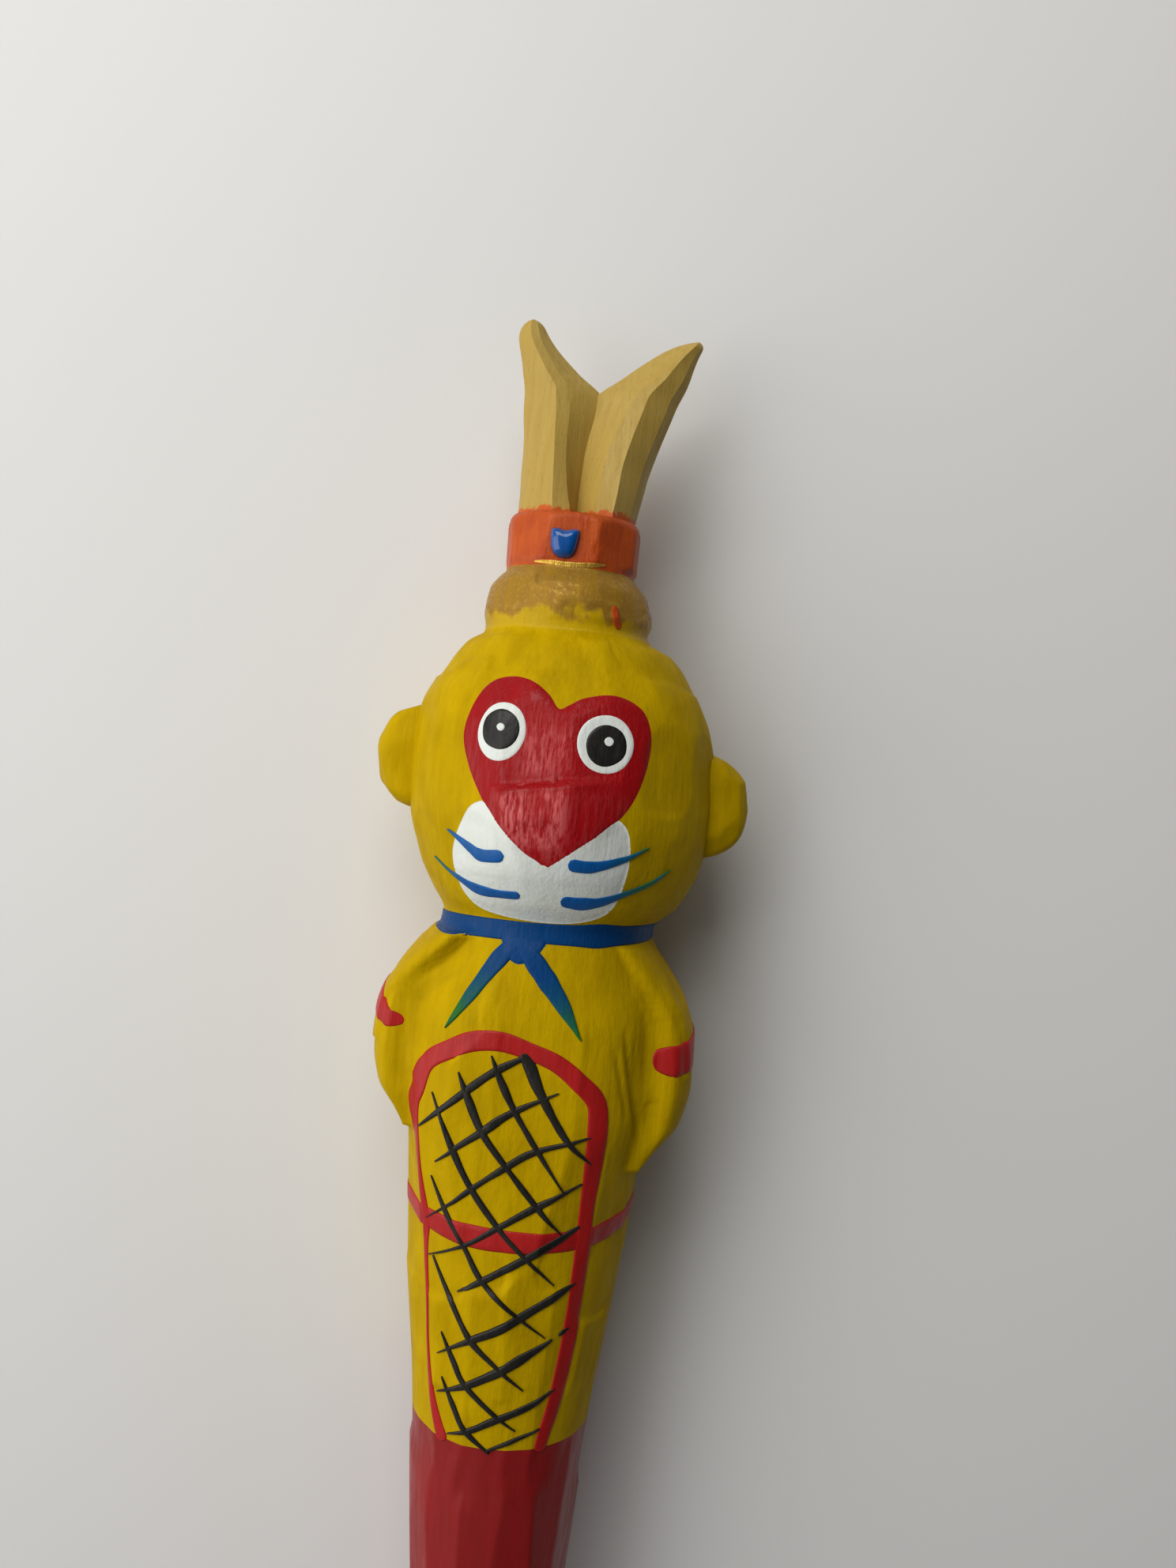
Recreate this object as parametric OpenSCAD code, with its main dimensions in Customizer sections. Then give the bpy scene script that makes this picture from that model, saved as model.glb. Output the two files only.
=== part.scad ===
// Hand-carved wooden ballpoint pen whose top is a crowned monkey.
// The pen lies on its flattened back: +Y runs from the writing tip to the crown,
// +Z from the table out through the face, +X to the viewer's right.
// The origin is on the table, under the middle of the pen.

/* [Lengths along the pen] */
// Wood from the nose to the lower edge of the painted jacket
shaft_length = 83; // [60:1:110]
// Jacket below the belt
skirt_length = 14; // [10:0.5:20]
// Belt to scarf
torso_length = 24.5; // [18:0.5:32]
// Scarf to the lower edge of the hoop
head_length = 21.5; // [16:0.5:28]
// Plain hoop above the head
hoop_length = 4.8; // [3:0.1:7]
// Headband above the hoop
band_length = 3.9; // [3.2:0.1:6]
// Headband to the tip of the taller prong
crown_length = 15; // [11:0.5:20]
// Depth of the notch between the prongs
notch_depth = 5.5; // [4:0.1:8]

/* [Widths across the pen] */
// End of the wood around the refill
nose_width = 6.2; // [5.6:0.1:7.6]
// Slim part of the barrel
grip_width = 8.6; // [7.8:0.1:10]
// Barrel just below the jacket
hem_width = 12.9; // [10.5:0.1:15.5]
// Body at the belt
waist_width = 16.2; // [14:0.1:19.5]
// Chest without the arms
chest_width = 17.4; // [15:0.1:21]
// Neck under the scarf
neck_width = 15.4; // [13:0.1:18.5]
// Head without the ears
head_width = 22; // [18.6:0.1:27]
// Plain hoop
hoop_width = 12.1; // [10:0.1:14.6]
// Headband
band_width = 9.6; // [8:0.1:11.6]
// Crown where it leaves the headband
crown_width = 8.5; // [7:0.1:10]
// How far each ear stands out of the head
ear_reach = 2.9; // [2:0.1:4]
// How far each arm stands out of the chest
arm_reach = 3.3; // [2.5:0.1:4.5]
// Each prong's lean away from the middle
prong_lean = 6; // [4:0.1:8]

/* [Depths front to back] */
// Face in front of the pen's axis
face_depth = 10.2; // [8.5:0.1:12.2]
// How far the muzzle stands out of the face
muzzle_rise = 0.9; // [0.5:0.1:1.4]
// Belly and chest in front of the pen's axis
belly_depth = 8.5; // [7:0.1:10]
// Back of the figure behind the axis, before it is planed flat
back_depth = 9.3; // [7.7:0.1:11.2]
// Thickness planed off the back
plane_cut = 0.9; // [0.5:0.1:1.5]
// Thickness of the crown at its base
crown_depth = 7; // [5.5:0.1:8.4]
// Thickness of an ear
ear_depth = 5; // [4:0.1:7]

/* [Refill] */
// Outside of the ink tube
tube_width = 3; // [2.5:0.1:3.4]
// Bore of the ink tube
tube_bore = 2; // [1.6:0.1:2.1]
// Length of the ink tube
tube_length = 98; // [80:1:118]
// Ink tube left standing out of the wood
tube_out = 3; // [1:0.5:6]
// Share of the tube that is filled with ink
ink_fill = 0.7; // [0.1:0.05:0.95]
// Metal tip in front of the tube
tip_length = 8.5; // [7:0.5:10.5]
// Stem of the metal tip inside the tube
stem_length = 4; // [3:0.5:5]
// Writing ball
ball_width = 1; // [0.8:0.1:1.2]
// Ink channel through the metal tip
channel_width = 0.6; // [0.4:0.1:0.7]

/* [Fits] */
// Gap all round the tube in its bore in the wood
tube_gap = 0.05; // [0.02:0.01:0.1]
// Gap between the tube's inner end and the end of the bore
end_gap = 0.3; // [0.1:0.1:1]
// Gap all round the stem and the ink inside the tube
liner_gap = 0.01; // [0.005:0.005:0.02]
// Gap all round the ball in its socket
socket_gap = 0.02; // [0.01:0.01:0.03]

/* [Hidden] */

// Heights along the pen, measured from the end of the wood
hem_y = shaft_length;
belt_y = hem_y + skirt_length;
neck_y = belt_y + torso_length;
hoop_y = neck_y + head_length;
band_y = hoop_y + hoop_length;
crown_y = band_y + band_length;
top_y = crown_y + crown_length;
notch_y = top_y - notch_depth;

// The axis above the table, and the middle of the whole pen
axis_height = back_depth - plane_cut;
tip_y = -tube_out - tip_length;
ball_out = 0.3 * ball_width;
middle_y = (top_y + tip_y - ball_out) / 2;

// Sidewise leans of the hand carving
head_shift = 0.3;
crown_shift = -0.5;

body_sides = 32;
limb_sides = 16;
round_facets = 64;
jewel_sides = 20;

// One station of a carved form: [along, sideways shift, centre height, half width, rise, fall]
function round_at(y, width, shift = 0) = [y, shift, 0, width / 2, width / 2, width / 2];

function oval_at(y, width, rise, fall, shift = 0) = [y, shift, 0, width / 2, rise, fall];

// Ring of points round one station
function ring(s, sides) = [
    for (i = [0 : sides - 1])
        let (a = 360 * i / sides, lift = sin(a) > 0 ? s[4] : s[5])
        [s[1] + s[3] * cos(a), s[0], s[2] + lift * sin(a)]
];

// Half a ring, flat underneath
function dome_ring(s, sides) = [
    for (i = [0 : sides - 1])
        let (a = 180 * i / (sides - 1))
        [s[1] + s[3] * cos(a), s[0], s[2] + s[4] * sin(a)]
];

// Closed form through all of its rings
module loft(rings) {
    sides = len(rings[0]);
    last = len(rings) - 1;
    points = [for (r = rings) each r];
    walls = [
        for (k = [0 : last - 1], i = [0 : sides - 1])
            let (j = (i + 1) % sides, a = k * sides, b = a + sides)
            each [[a + i, a + j, b + j], [a + i, b + j, b + i]]
    ];
    start = [for (i = [sides - 1 : -1 : 0]) i];
    finish = [for (i = [0 : sides - 1]) last * sides + i];
    polyhedron(points, concat([start], walls, [finish]), convexity = 4);
}

// Closed form through a list of stations
module carve(stations, sides) {
    loft([for (s = stations) ring(s, sides)]);
}

// Places something turned about +Z so that it is turned about the pen's axis instead
module along_pen(y) {
    translate([0, y, 0]) rotate([-90, 0, 0]) children();
}

// Sets a piece that was drawn round the axis down on the table
module on_table() {
    translate([0, -middle_y, axis_height]) children();
}

// Barrel: a pointed nose, a slim grip, then a growing taper up to the jacket
nose_round = 0.5;
nose_taper = 9;
grip_y = 0.45 * shaft_length;
swell_y = 0.8 * shaft_length;
barrel_stations = [
    round_at(0, nose_width - 2 * nose_round),
    round_at(nose_round, nose_width),
    round_at(nose_taper, (nose_width + 2 * grip_width) / 3),
    round_at(2 * nose_taper, grip_width - 0.3),
    round_at(grip_y, grip_width),
    round_at((grip_y + swell_y) / 2, (5 * grip_width + hem_width) / 6),
    round_at(swell_y, (grip_width + hem_width) / 2 - 0.5),
    round_at((swell_y + hem_y) / 2, (grip_width + 3 * hem_width) / 4),
    round_at(hem_y, hem_width),
];

// Jacket, chest and neck: the back grows deeper than the front, because it is planed
chest_y = belt_y + 0.45 * torso_length;
torso_stations = [
    oval_at((hem_y + belt_y) / 2, (hem_width + waist_width) / 2 - 0.2, belly_depth - 1.3, back_depth - 1.4),
    oval_at(belt_y, waist_width, belly_depth - 0.7, back_depth - 0.3),
    oval_at((belt_y + chest_y) / 2, (waist_width + chest_width) / 2, belly_depth - 0.3, back_depth),
    oval_at(chest_y, chest_width, belly_depth, back_depth),
    oval_at((chest_y + neck_y) / 2, chest_width, belly_depth - 0.2, back_depth),
    oval_at(neck_y - 2.2, (chest_width + neck_width) / 2, belly_depth - 0.8, back_depth - 0.8, head_shift),
    oval_at(neck_y, neck_width, belly_depth - 1.3, back_depth - 1.4, head_shift),
];

// Head: a rounded block with a muzzle in its lower front
function head_at(part, spread, rise, fall) = oval_at(
    neck_y + part * head_length,
    neck_width + spread * (head_width - neck_width),
    rise, fall, head_shift);

head_stations = [
    head_at(0.09, 0.36, face_depth - 1.2, back_depth - 0.5),
    head_at(0.2, 0.72, face_depth + muzzle_rise - 0.4, back_depth + 0.2),
    head_at(0.35, 0.96, face_depth + muzzle_rise, back_depth + 0.5),
    head_at(0.44, 1, face_depth + muzzle_rise, back_depth + 0.6),
    head_at(0.47, 1, face_depth, back_depth + 0.6),
    head_at(0.6, 0.98, face_depth - 0.2, back_depth + 0.6),
    head_at(0.74, 0.78, face_depth - 1, back_depth + 0.3),
    head_at(0.86, 0.4, face_depth - 2.2, back_depth - 0.8),
    head_at(0.95, 0, face_depth - 3.4, back_depth - 2.4),
];

// Hoop and headband, each a bead with a waist on both sides
waist_in = 0.55;
top_stations = [
    round_at(hoop_y, hoop_width - 2 * waist_in, -0.3),
    round_at(hoop_y + 0.25 * hoop_length, hoop_width, -0.3),
    round_at(hoop_y + 0.6 * hoop_length, hoop_width - 0.5, -0.35),
    round_at(band_y - 0.2, band_width - 2 * waist_in, crown_shift),
    round_at(band_y + 0.4, band_width, crown_shift),
    round_at(crown_y - 0.9, band_width, crown_shift),
    round_at(crown_y - 0.1, band_width - 2 * waist_in, crown_shift),
];

// Station of a form that grows out of the body sideways, from its inner edge to its outer edge
function side_at(y, side, inner, outer, rise, fall, shift = 0) = [
    y, shift + side * (inner + outer) / 2, 0, (outer - inner) / 2, rise, fall];

// Crown: two prongs that meet in a groove up to the notch. Side is -1 for the left, 1 for the right
module prong(side, lean, cut) {
    root_y = crown_y - 1.5;
    half = crown_width / 2;
    thick = crown_depth / 2;
    tilt = lean - prong_lean;
    free = top_y - cut - notch_y;
    // [height, inner edge, outer edge, half thickness], edges measured from the crown's middle
    edges = [
        [root_y, -0.2, half, thick],
        [(root_y + notch_y) / 2, -0.3 + 0.2 * tilt, half + 0.4 + 0.2 * tilt, thick - 0.6],
        [notch_y - 0.3, -0.3 + 0.6 * tilt, half + 1.2 + 0.6 * tilt, thick - 1.4],
        [notch_y + 0.3 * free, 1.7 + 0.55 * tilt, half + 1.8 + 0.75 * tilt, thick - 1.8],
        [notch_y + 0.75 * free, lean - 1.75 - 0.35 * tilt, lean + 0.85 - 0.25 * tilt, thick - 2.5],
        [top_y - cut, lean - 0.3, lean + 0.9, 0.6],
    ];
    carve([
        for (e = edges)
            side_at(e[0], side, e[1], e[2], e[3], e[3], crown_shift)
    ], limb_sides);
}

// Ear: a rounded slab. Along is its middle measured from the neck
module ear(side, along, reach) {
    half_length = 4.1;
    sunk = 1.8;
    // [share of the half length, share of the reach]
    outline = [[-1.05, -0.4], [-0.85, 0.3], [-0.5, 0.78], [0, 1], [0.45, 0.9], [0.8, 0.45], [1, -0.2]];
    carve([
        for (p = outline)
            side_at(neck_y + along + half_length * p[0], side, head_width / 2 - sunk,
                head_width / 2 + reach * p[1], ear_depth / 2, ear_depth / 2, head_shift)
    ], limb_sides);
}

// Arm: a lobe that lies along the chest and ends in a blunt stub
module arm(side, foot_y, reach) {
    sunk = 3;
    length = neck_y - 0.6 - foot_y;
    // [share of the length, share of the reach]
    outline = [[0, 0], [0.1, 0.4], [0.22, 0.85], [0.38, 1], [0.54, 0.96], [0.72, 0.72], [0.88, 0.25], [1, -0.3]];
    carve([
        for (p = outline)
            side_at(foot_y + length * p[0], side, chest_width / 2 - sunk,
                chest_width / 2 + reach * p[1], 5.4 + p[1] / 2, 5.4)
    ], limb_sides);
}

// Flat on the front of the headband that the jewel sits on, a little left of and below its middle
seat_height = band_width / 2 - 0.25;
jewel_shift = crown_shift - 0.4;
jewel_y = band_y + 0.36 * band_length;
jewel_width = 2.1;
jewel_length = 2.2;
jewel_rise = 0.7;

// All the carved forms of the billet, joined at its full length
module billet() {
    resize([0, top_y, 0]) {
        carve(concat(barrel_stations, torso_stations, head_stations, top_stations), body_sides);
        prong(-1, prong_lean - 1.8, 0);
        prong(1, prong_lean + 1.8, 0.6);
        ear(-1, 0.54 * head_length, ear_reach);
        ear(1, 0.45 * head_length, ear_reach + 0.3);
        arm(-1, belt_y + 0.36 * torso_length, arm_reach);
        arm(1, belt_y + 0.28 * torso_length, arm_reach + 0.3);
    }
}

module carved_body() {
    bore_width = tube_width + 2 * tube_gap;
    bore_depth = tube_length - tube_out + end_gap;
    lift = 20;
    color("gold")
    on_table() difference() {
        billet();
        // Planed back
        translate([-lift, -lift, -axis_height - lift]) cube([2 * lift, top_y + 2 * lift, lift]);
        // Jewel's seat
        translate([jewel_shift - jewel_width, jewel_y - jewel_length, seat_height])
            cube([2 * jewel_width, 2 * jewel_length, lift]);
        // Blind bore for the refill
        along_pen(-1) cylinder(h = bore_depth + 1, d = bore_width, $fn = round_facets);
    }
}

module headband_jewel() {
    // [share of the length, share of the width, share of the rise], from the pointed end up
    outline = [[-1, 0.2, 0.2], [-0.8, 0.6, 0.6], [-0.3, 0.9, 0.95],
        [0.3, 1, 1], [0.8, 0.9, 0.7], [1, 0.7, 0.2]];
    color("royalblue")
    on_table() loft([
        for (p = outline)
            dome_ring([jewel_y + p[0] * jewel_length / 2, jewel_shift, seat_height,
                p[1] * jewel_width / 2, p[2] * jewel_rise], jewel_sides)
    ]);
}

module ink_tube() {
    color("whitesmoke")
    on_table() along_pen(-tube_out) difference() {
        cylinder(h = tube_length, d = tube_width, $fn = round_facets);
        translate([0, 0, -1]) cylinder(h = tube_length + 2, d = tube_bore, $fn = round_facets);
    }
}

module ink_column() {
    color("midnightblue")
    on_table() along_pen(-tube_out + stem_length)
        cylinder(h = ink_fill * tube_length, d = tube_bore - 2 * liner_gap, $fn = round_facets);
}

// The ball's centre stands this far inside the tip's front edge
ball_set = ball_width / 2 - ball_out;

module refill_tip() {
    lip = ball_width / 2 + 0.08;
    neck = ball_width / 2 + 0.25;
    collar = tube_width / 2;
    stem = tube_bore / 2 - liner_gap;
    collar_length = 1.2;
    color("goldenrod")
    on_table() along_pen(tip_y) difference() {
        rotate_extrude($fn = round_facets) polygon([
            [0, 0], [lip, 0], [neck, 1.3], [neck + 0.15, 1.5],
            [collar - 0.3, tip_length - collar_length],
            [collar, tip_length - collar_length], [collar, tip_length],
            [stem, tip_length], [stem, tip_length + stem_length], [0, tip_length + stem_length]
        ]);
        // Ball's socket
        translate([0, 0, ball_set]) sphere(d = ball_width + 2 * socket_gap, $fn = round_facets);
        // Ink channel
        cylinder(h = tip_length + stem_length + 1, d = channel_width, $fn = round_facets);
    }
}

module writing_ball() {
    color("silver")
    on_table() along_pen(tip_y + ball_set) sphere(d = ball_width, $fn = round_facets);
}

carved_body();
headband_jewel();
ink_tube();
ink_column();
refill_tip();
writing_ball();
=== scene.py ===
"""Looks of the carved monkey pen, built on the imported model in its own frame.

The pen lies on its planed back. +Y runs from the writing tip to the crown, +Z goes from
the table out through the face, +X is the viewer's right. The surface functions work in
millimetres in that frame, and the meshes are stored in metres.
"""
import math

import bpy
import numpy as np
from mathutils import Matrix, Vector


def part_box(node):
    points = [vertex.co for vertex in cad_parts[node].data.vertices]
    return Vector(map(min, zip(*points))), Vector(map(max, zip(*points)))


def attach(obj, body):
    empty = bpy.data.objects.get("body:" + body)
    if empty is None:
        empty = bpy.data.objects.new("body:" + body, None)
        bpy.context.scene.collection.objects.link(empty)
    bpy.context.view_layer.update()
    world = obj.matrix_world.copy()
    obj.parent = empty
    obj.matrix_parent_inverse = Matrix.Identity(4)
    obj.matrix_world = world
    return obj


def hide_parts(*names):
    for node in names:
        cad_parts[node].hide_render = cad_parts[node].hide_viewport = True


bl_info = {
    "name": "Carved monkey pen",
    "version": (1, 0, 0),
    "blender": (4, 5, 0),
    "location": "View3D > Sidebar > Monkey pen",
    "description": "Builds the carved and painted looks of a wooden monkey pen on its frame",
    "category": "Object",
}

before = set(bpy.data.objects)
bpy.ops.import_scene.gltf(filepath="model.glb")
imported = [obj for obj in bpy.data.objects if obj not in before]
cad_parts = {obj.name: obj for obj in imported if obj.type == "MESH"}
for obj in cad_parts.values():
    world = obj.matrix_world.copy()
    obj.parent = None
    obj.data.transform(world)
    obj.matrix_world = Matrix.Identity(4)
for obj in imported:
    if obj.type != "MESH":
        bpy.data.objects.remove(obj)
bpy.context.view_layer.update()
MM = 0.001

BODY_LOW, BODY_HIGH = (np.array(c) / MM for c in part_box("carved_body"))
TIP_LOW, TIP_HIGH = (np.array(c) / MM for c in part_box("refill_tip"))
TUBE_LOW, TUBE_HIGH = (np.array(c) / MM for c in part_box("ink_tube"))
JEWEL_LOW, JEWEL_HIGH = (np.array(c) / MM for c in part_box("headband_jewel"))

NOSE = BODY_LOW[1]                              # end of the wood at the writing end
AXIS = (TUBE_LOW[2] + TUBE_HIGH[2]) / 2         # height of the pen's axis above the table
FLAT = -AXIS                                    # the table, seen from the axis
LIFT = 0.08                                     # planed wood above the table, room for paint under it
# Places along the pen: the paint's hem, the neck, the feet of the hoop, the headband and the
# crown, the notch between the prongs, and the top
HEM, NECK = NOSE + 84.1, NOSE + 121.5
HOOP, BAND, CROWN = NOSE + 143, NOSE + 147.8, NOSE + 151.7
NOTCH, TOP = NOSE + 161.2, BODY_HIGH[1]
HEAD_SHIFT, CROWN_SHIFT = 0.3, -0.5             # how far each stands to the right of the barrel

# Colours, as the shader takes them, that belong to one place only
FLAKE_GOLD = (0.5, 0.33, 0.06, 1)
# Painted highlight: the bright gold and yellow of the thin stroke along the headband's lower edge
HIGHLIGHT_GOLD, HIGHLIGHT_YELLOW = (0.62, 0.36, 0.05, 1), (0.8, 0.5, 0.08, 1)
BLACK_WORN = (0.03, 0.028, 0.02, 1)
SCARF_DEEP = (0.004, 0.045, 0.16, 1)
LAMP_WHITE, SKY_WHITE = (1.0, 0.992, 0.975), (0.97, 0.98, 1.0, 1)


# ---------------------------------------------------------------- small mathematics

def monotone(x, knots, values):
    """Cubic through the knots that never overshoots: at each knot the slope is the
    harmonic mean of its neighbours' slopes, or zero where they disagree in sign."""
    knots, values = np.asarray(knots, float), np.asarray(values, float)
    span = np.diff(knots)
    slope = np.diff(values) / span
    product, total = slope[1:] * slope[:-1], slope[1:] + slope[:-1]
    inner = np.where(product > 0, 2 * product / np.where(total == 0, 1, total), 0)
    tangent = np.concatenate([[slope[0]], inner, [slope[-1]]])
    x = np.clip(x, knots[0], knots[-1])
    k = np.clip(np.searchsorted(knots, x, side="right") - 1, 0, len(span) - 1)
    t = (x - knots[k]) / span[k]
    return (values[k] * (1 + 2 * t) * (1 - t) ** 2 + span[k] * tangent[k] * t * (1 - t) ** 2
            + values[k + 1] * t * t * (3 - 2 * t) + span[k] * tangent[k + 1] * t * t * (t - 1))


def through(points, count, closed=False):
    """Catmull-Rom curve through every point, at count even steps of its parameter."""
    points = np.asarray(points, float)
    n = len(points)
    last = n if closed else n - 1
    t = np.linspace(0, last, count, endpoint=not closed)
    k = np.minimum(t.astype(int), last - 1)
    f = (t - k)[:, None]
    near = [(k + j) % n if closed else np.clip(k + j, 0, n - 1) for j in (-1, 0, 1, 2)]
    a, b, c, d = (points[j] for j in near)
    return b + 0.5 * f * (c - a + f * (2 * a - 5 * b + 4 * c - d + f * (3 * (b - c) + d - a)))


def step(x, low, high):
    """Smooth step from 0 at low to 1 at high."""
    t = np.clip((x - low) / (high - low), 0, 1)
    return t * t * (3 - 2 * t)


def waver(t, seed, strength):
    """Sum of five sine waves with seeded phases: the unsteadiness of a hand."""
    rng = np.random.default_rng(seed)
    waves = np.arange(2, 7)[:, None]
    phase = rng.uniform(0, 2 * np.pi, (5, 1))
    return strength * (np.sin(2 * np.pi * waves * np.asarray(t)[None, :] + phase) / waves).sum(axis=0)


# ---------------------------------------------------------------- the carved body's surface

def station(height, width, rise=None, fall=None, shift=0.0):
    """One cross-section: height above the nose, half width, rise, fall, sideways shift."""
    half = width / 2
    return (NOSE + height, half, rise or half, fall or half, shift)


STATIONS = np.array([
    station(0.5, 6.2), station(9, 7.8), station(18, 8.3), station(37.35, 8.6),
    station(51.9, 9.3), station(66.4, 10.25), station(74.7, 11.8), station(83, 12.9),
    station(90, 14.35, 7.2, 7.9), station(97, 16.2, 7.8, 9.0), station(102.5, 16.8, 8.2, 9.3),
    station(108, 17.4, 8.5, 9.3), station(114.8, 17.4, 8.3, 9.3),
    station(119.3, 16.4, 7.7, 8.5, 0.3), station(121.5, 15.4, 7.2, 7.9, 0.3),
    station(123.4, 18.2, 8.6, 8.8, 0.7), station(125.8, 20.6, 9.6, 9.5, 0.7),
    station(129, 22.1, 10.2, 9.8, 0.5), station(131.6, 22.3, 10.2, 9.9, 0.4),
    station(134.4, 22.2, 10.0, 9.9, 0.3), station(137.4, 20.9, 9.2, 9.6, 0.2),
    station(140, 18.4, 8.0, 8.5, 0.2), station(141.9, 15.4, 6.8, 6.9, 0.1),
    station(142.9, 12.0, 5.7, 5.7, -0.2), station(143.3, 11.8, 5.7, 5.7, -0.3),
    station(144.3, 12.35, 6.05, 6.05, -0.3), station(146, 11.8, 5.8, 5.8, -0.35),
    station(147.1, 10.2, 5.0, 5.0, -0.4), station(147.7, 9.1, 4.4, 4.4, -0.45),
    station(148.2, 9.6, 4.75, 4.75, -0.35), station(150.8, 9.7, 4.8, 4.8, -0.35),
    station(151.6, 8.8, 4.2, 4.2, -0.4),
]).T

FULLER = 0.2      # what the knife takes off the sides on average, given back before the cuts
ARM_BLEND = 0.3   # softness of the crease where the arms leave the body
ARM_LENGTH_SHARES = [0, 0.1, 0.22, 0.38, 0.54, 0.72, 0.88, 1]
ARM_REACH_SHARES = [0, 0.4, 0.85, 1, 0.96, 0.72, 0.25, -0.3]


def middle_x(y):
    """Sideways place of the section's centre."""
    return monotone(y, STATIONS[0], STATIONS[4])


def arm_radius(theta, y, side, foot, reach):
    """Far crossing of a ray from the axis with the arm's own ellipse, held inside the
    ellipse's own height; past the tangent ray it falls away as the square root of the miss."""
    share = (y - foot) / (NOSE + 120.9 - foot)
    p = monotone(share, ARM_LENGTH_SHARES, ARM_REACH_SHARES)
    shoulder = step(share, 0.62, 1.0)
    outer, inner = 8.7 + reach * p, 8.3 - 0.2 * side - 4.4 * shoulder
    c = side * (inner + outer) / 2 - middle_x(y)
    a = np.maximum(outer - inner, 0.8) / 2
    b = 4.7 + np.maximum(p, 0) / 2 + (1.4 - 0.4 * side) * shoulder
    A = np.cos(theta) ** 2 / a ** 2 + np.sin(theta) ** 2 / b ** 2
    B = c * np.cos(theta) / a ** 2
    miss = B * B - A * (c * c / a ** 2 - 1)
    r = np.minimum((B + np.sign(miss) * np.sqrt(np.abs(miss))) / A,
                   b / np.maximum(np.abs(np.sin(theta)), 0.05))
    inside = step(share, -0.02, 0.02) * (1 - step(share, 0.97, 1.0))
    return np.where(B > 0, r * inside, 0)


def smooth_radius(theta, y):
    """Distance from the axis before the knife: a rounded section |c/half|^n + |s/rise|^n = 1
    that grows squarer between the arms, a swelling muzzle, and the larger of that and the arms."""
    half, rise, fall = (monotone(y, STATIONS[0], STATIONS[k]) for k in (1, 2, 3))
    c, s = np.cos(theta), np.sin(theta)
    chest = step(y, NOSE + 99, NOSE + 108) * (1 - step(y, NOSE + 114, NOSE + 120))
    power = 2 + 0.7 * chest
    half = half + 0.45 * chest * step(y, NOSE + 105, NOSE + 109)
    r = (np.abs(c / half) ** power + np.abs(s / np.where(s > 0, rise, fall)) ** power) ** (-1 / power)
    x = r * c
    r = r + FULLER * np.abs(c) * step(y, NOSE + 1, NOSE + 12)
    bulge = step(y, NOSE + 121.8, NOSE + 126.5) * (1 - step(y, NOSE + 128.5, NOSE + 134.5))
    bulge = bulge * (1 - step(np.abs(x), 3.0, 7.8))
    r = r + 0.6 * bulge * np.maximum(s, 0)
    arms = np.maximum(arm_radius(theta, y, -1, NOSE + 105.8, 3.3),
                      arm_radius(theta, y, 1, NOSE + 103.9, 3.6))
    return ARM_BLEND * np.logaddexp(r / ARM_BLEND, arms / ARM_BLEND)


def nose_block(x, y):
    """Height of the block under the nose: a sharp ledge on top, a steep left side, a soft
    right side, and a slow fade down to the chin."""
    ledge = NOSE + 131.85 + 0.165 * x
    return (0.6 * step(y, NOSE + 122.5, NOSE + 131) * (1 - step(y, ledge - 0.3, ledge + 0.15))
            * step(x, -4.4 + 0.3 * (ledge - y), -3.4 + 0.3 * (ledge - y)) * (1 - step(x, 0.2, 5.4)))


# From, to, cuts along, cuts around, depth, spread of depth, share of a turn to start at
KNIFE_ZONES = [
    (0.5, 30, 2, 12, 0.07, 0.07, 0.1), (30, 62, 2, 13, 0.08, 0.08, 0.35),
    (62, 84, 1, 14, 0.09, 0.1, 0.2), (84, 97, 1, 16, 0.1, 0.12, 0.4),
    (97, 108, 1, 15, 0.12, 0.14, 0.1), (108, 121, 2, 14, 0.1, 0.14, 0.3),
    (123.5, 131.3, 1, 12, 0.08, 0.06, 0.1833), (131.8, 142.6, 2, 13, 0.12, 0.14, 0.05),
    (143.1, 147.2, 1, 11, 0.08, 0.06, 0.3), (147.9, 151.4, 1, 9, 0.15, 0.08, 0.25),
]
# How soft the edges between cuts are at each height
KNIFE_EDGE_HEIGHTS = np.array([84, 90, 118, 123, 133, 142])
KNIFE_EDGE_SOFTNESS = [1, 1.6, 2, 3.2, 2.6, 1]
# How deep a cut may go at each height
CUT_LIMIT_HEIGHTS = np.array([0, 75, 83, 88, 92, 103, 106, 117, 120, 127, 130, 140,
                              142.6, 143.2, 147.2, 147.8])
CUT_LIMITS = [0.2, 0.2, 0.14, 0.14, 0.26, 0.22, 0.15, 0.13, 0.02, 0.02, 0.16, 0.25,
              0.1, 0.1, 0.1, 0.3]
KNIFE_SEED = 23


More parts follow.
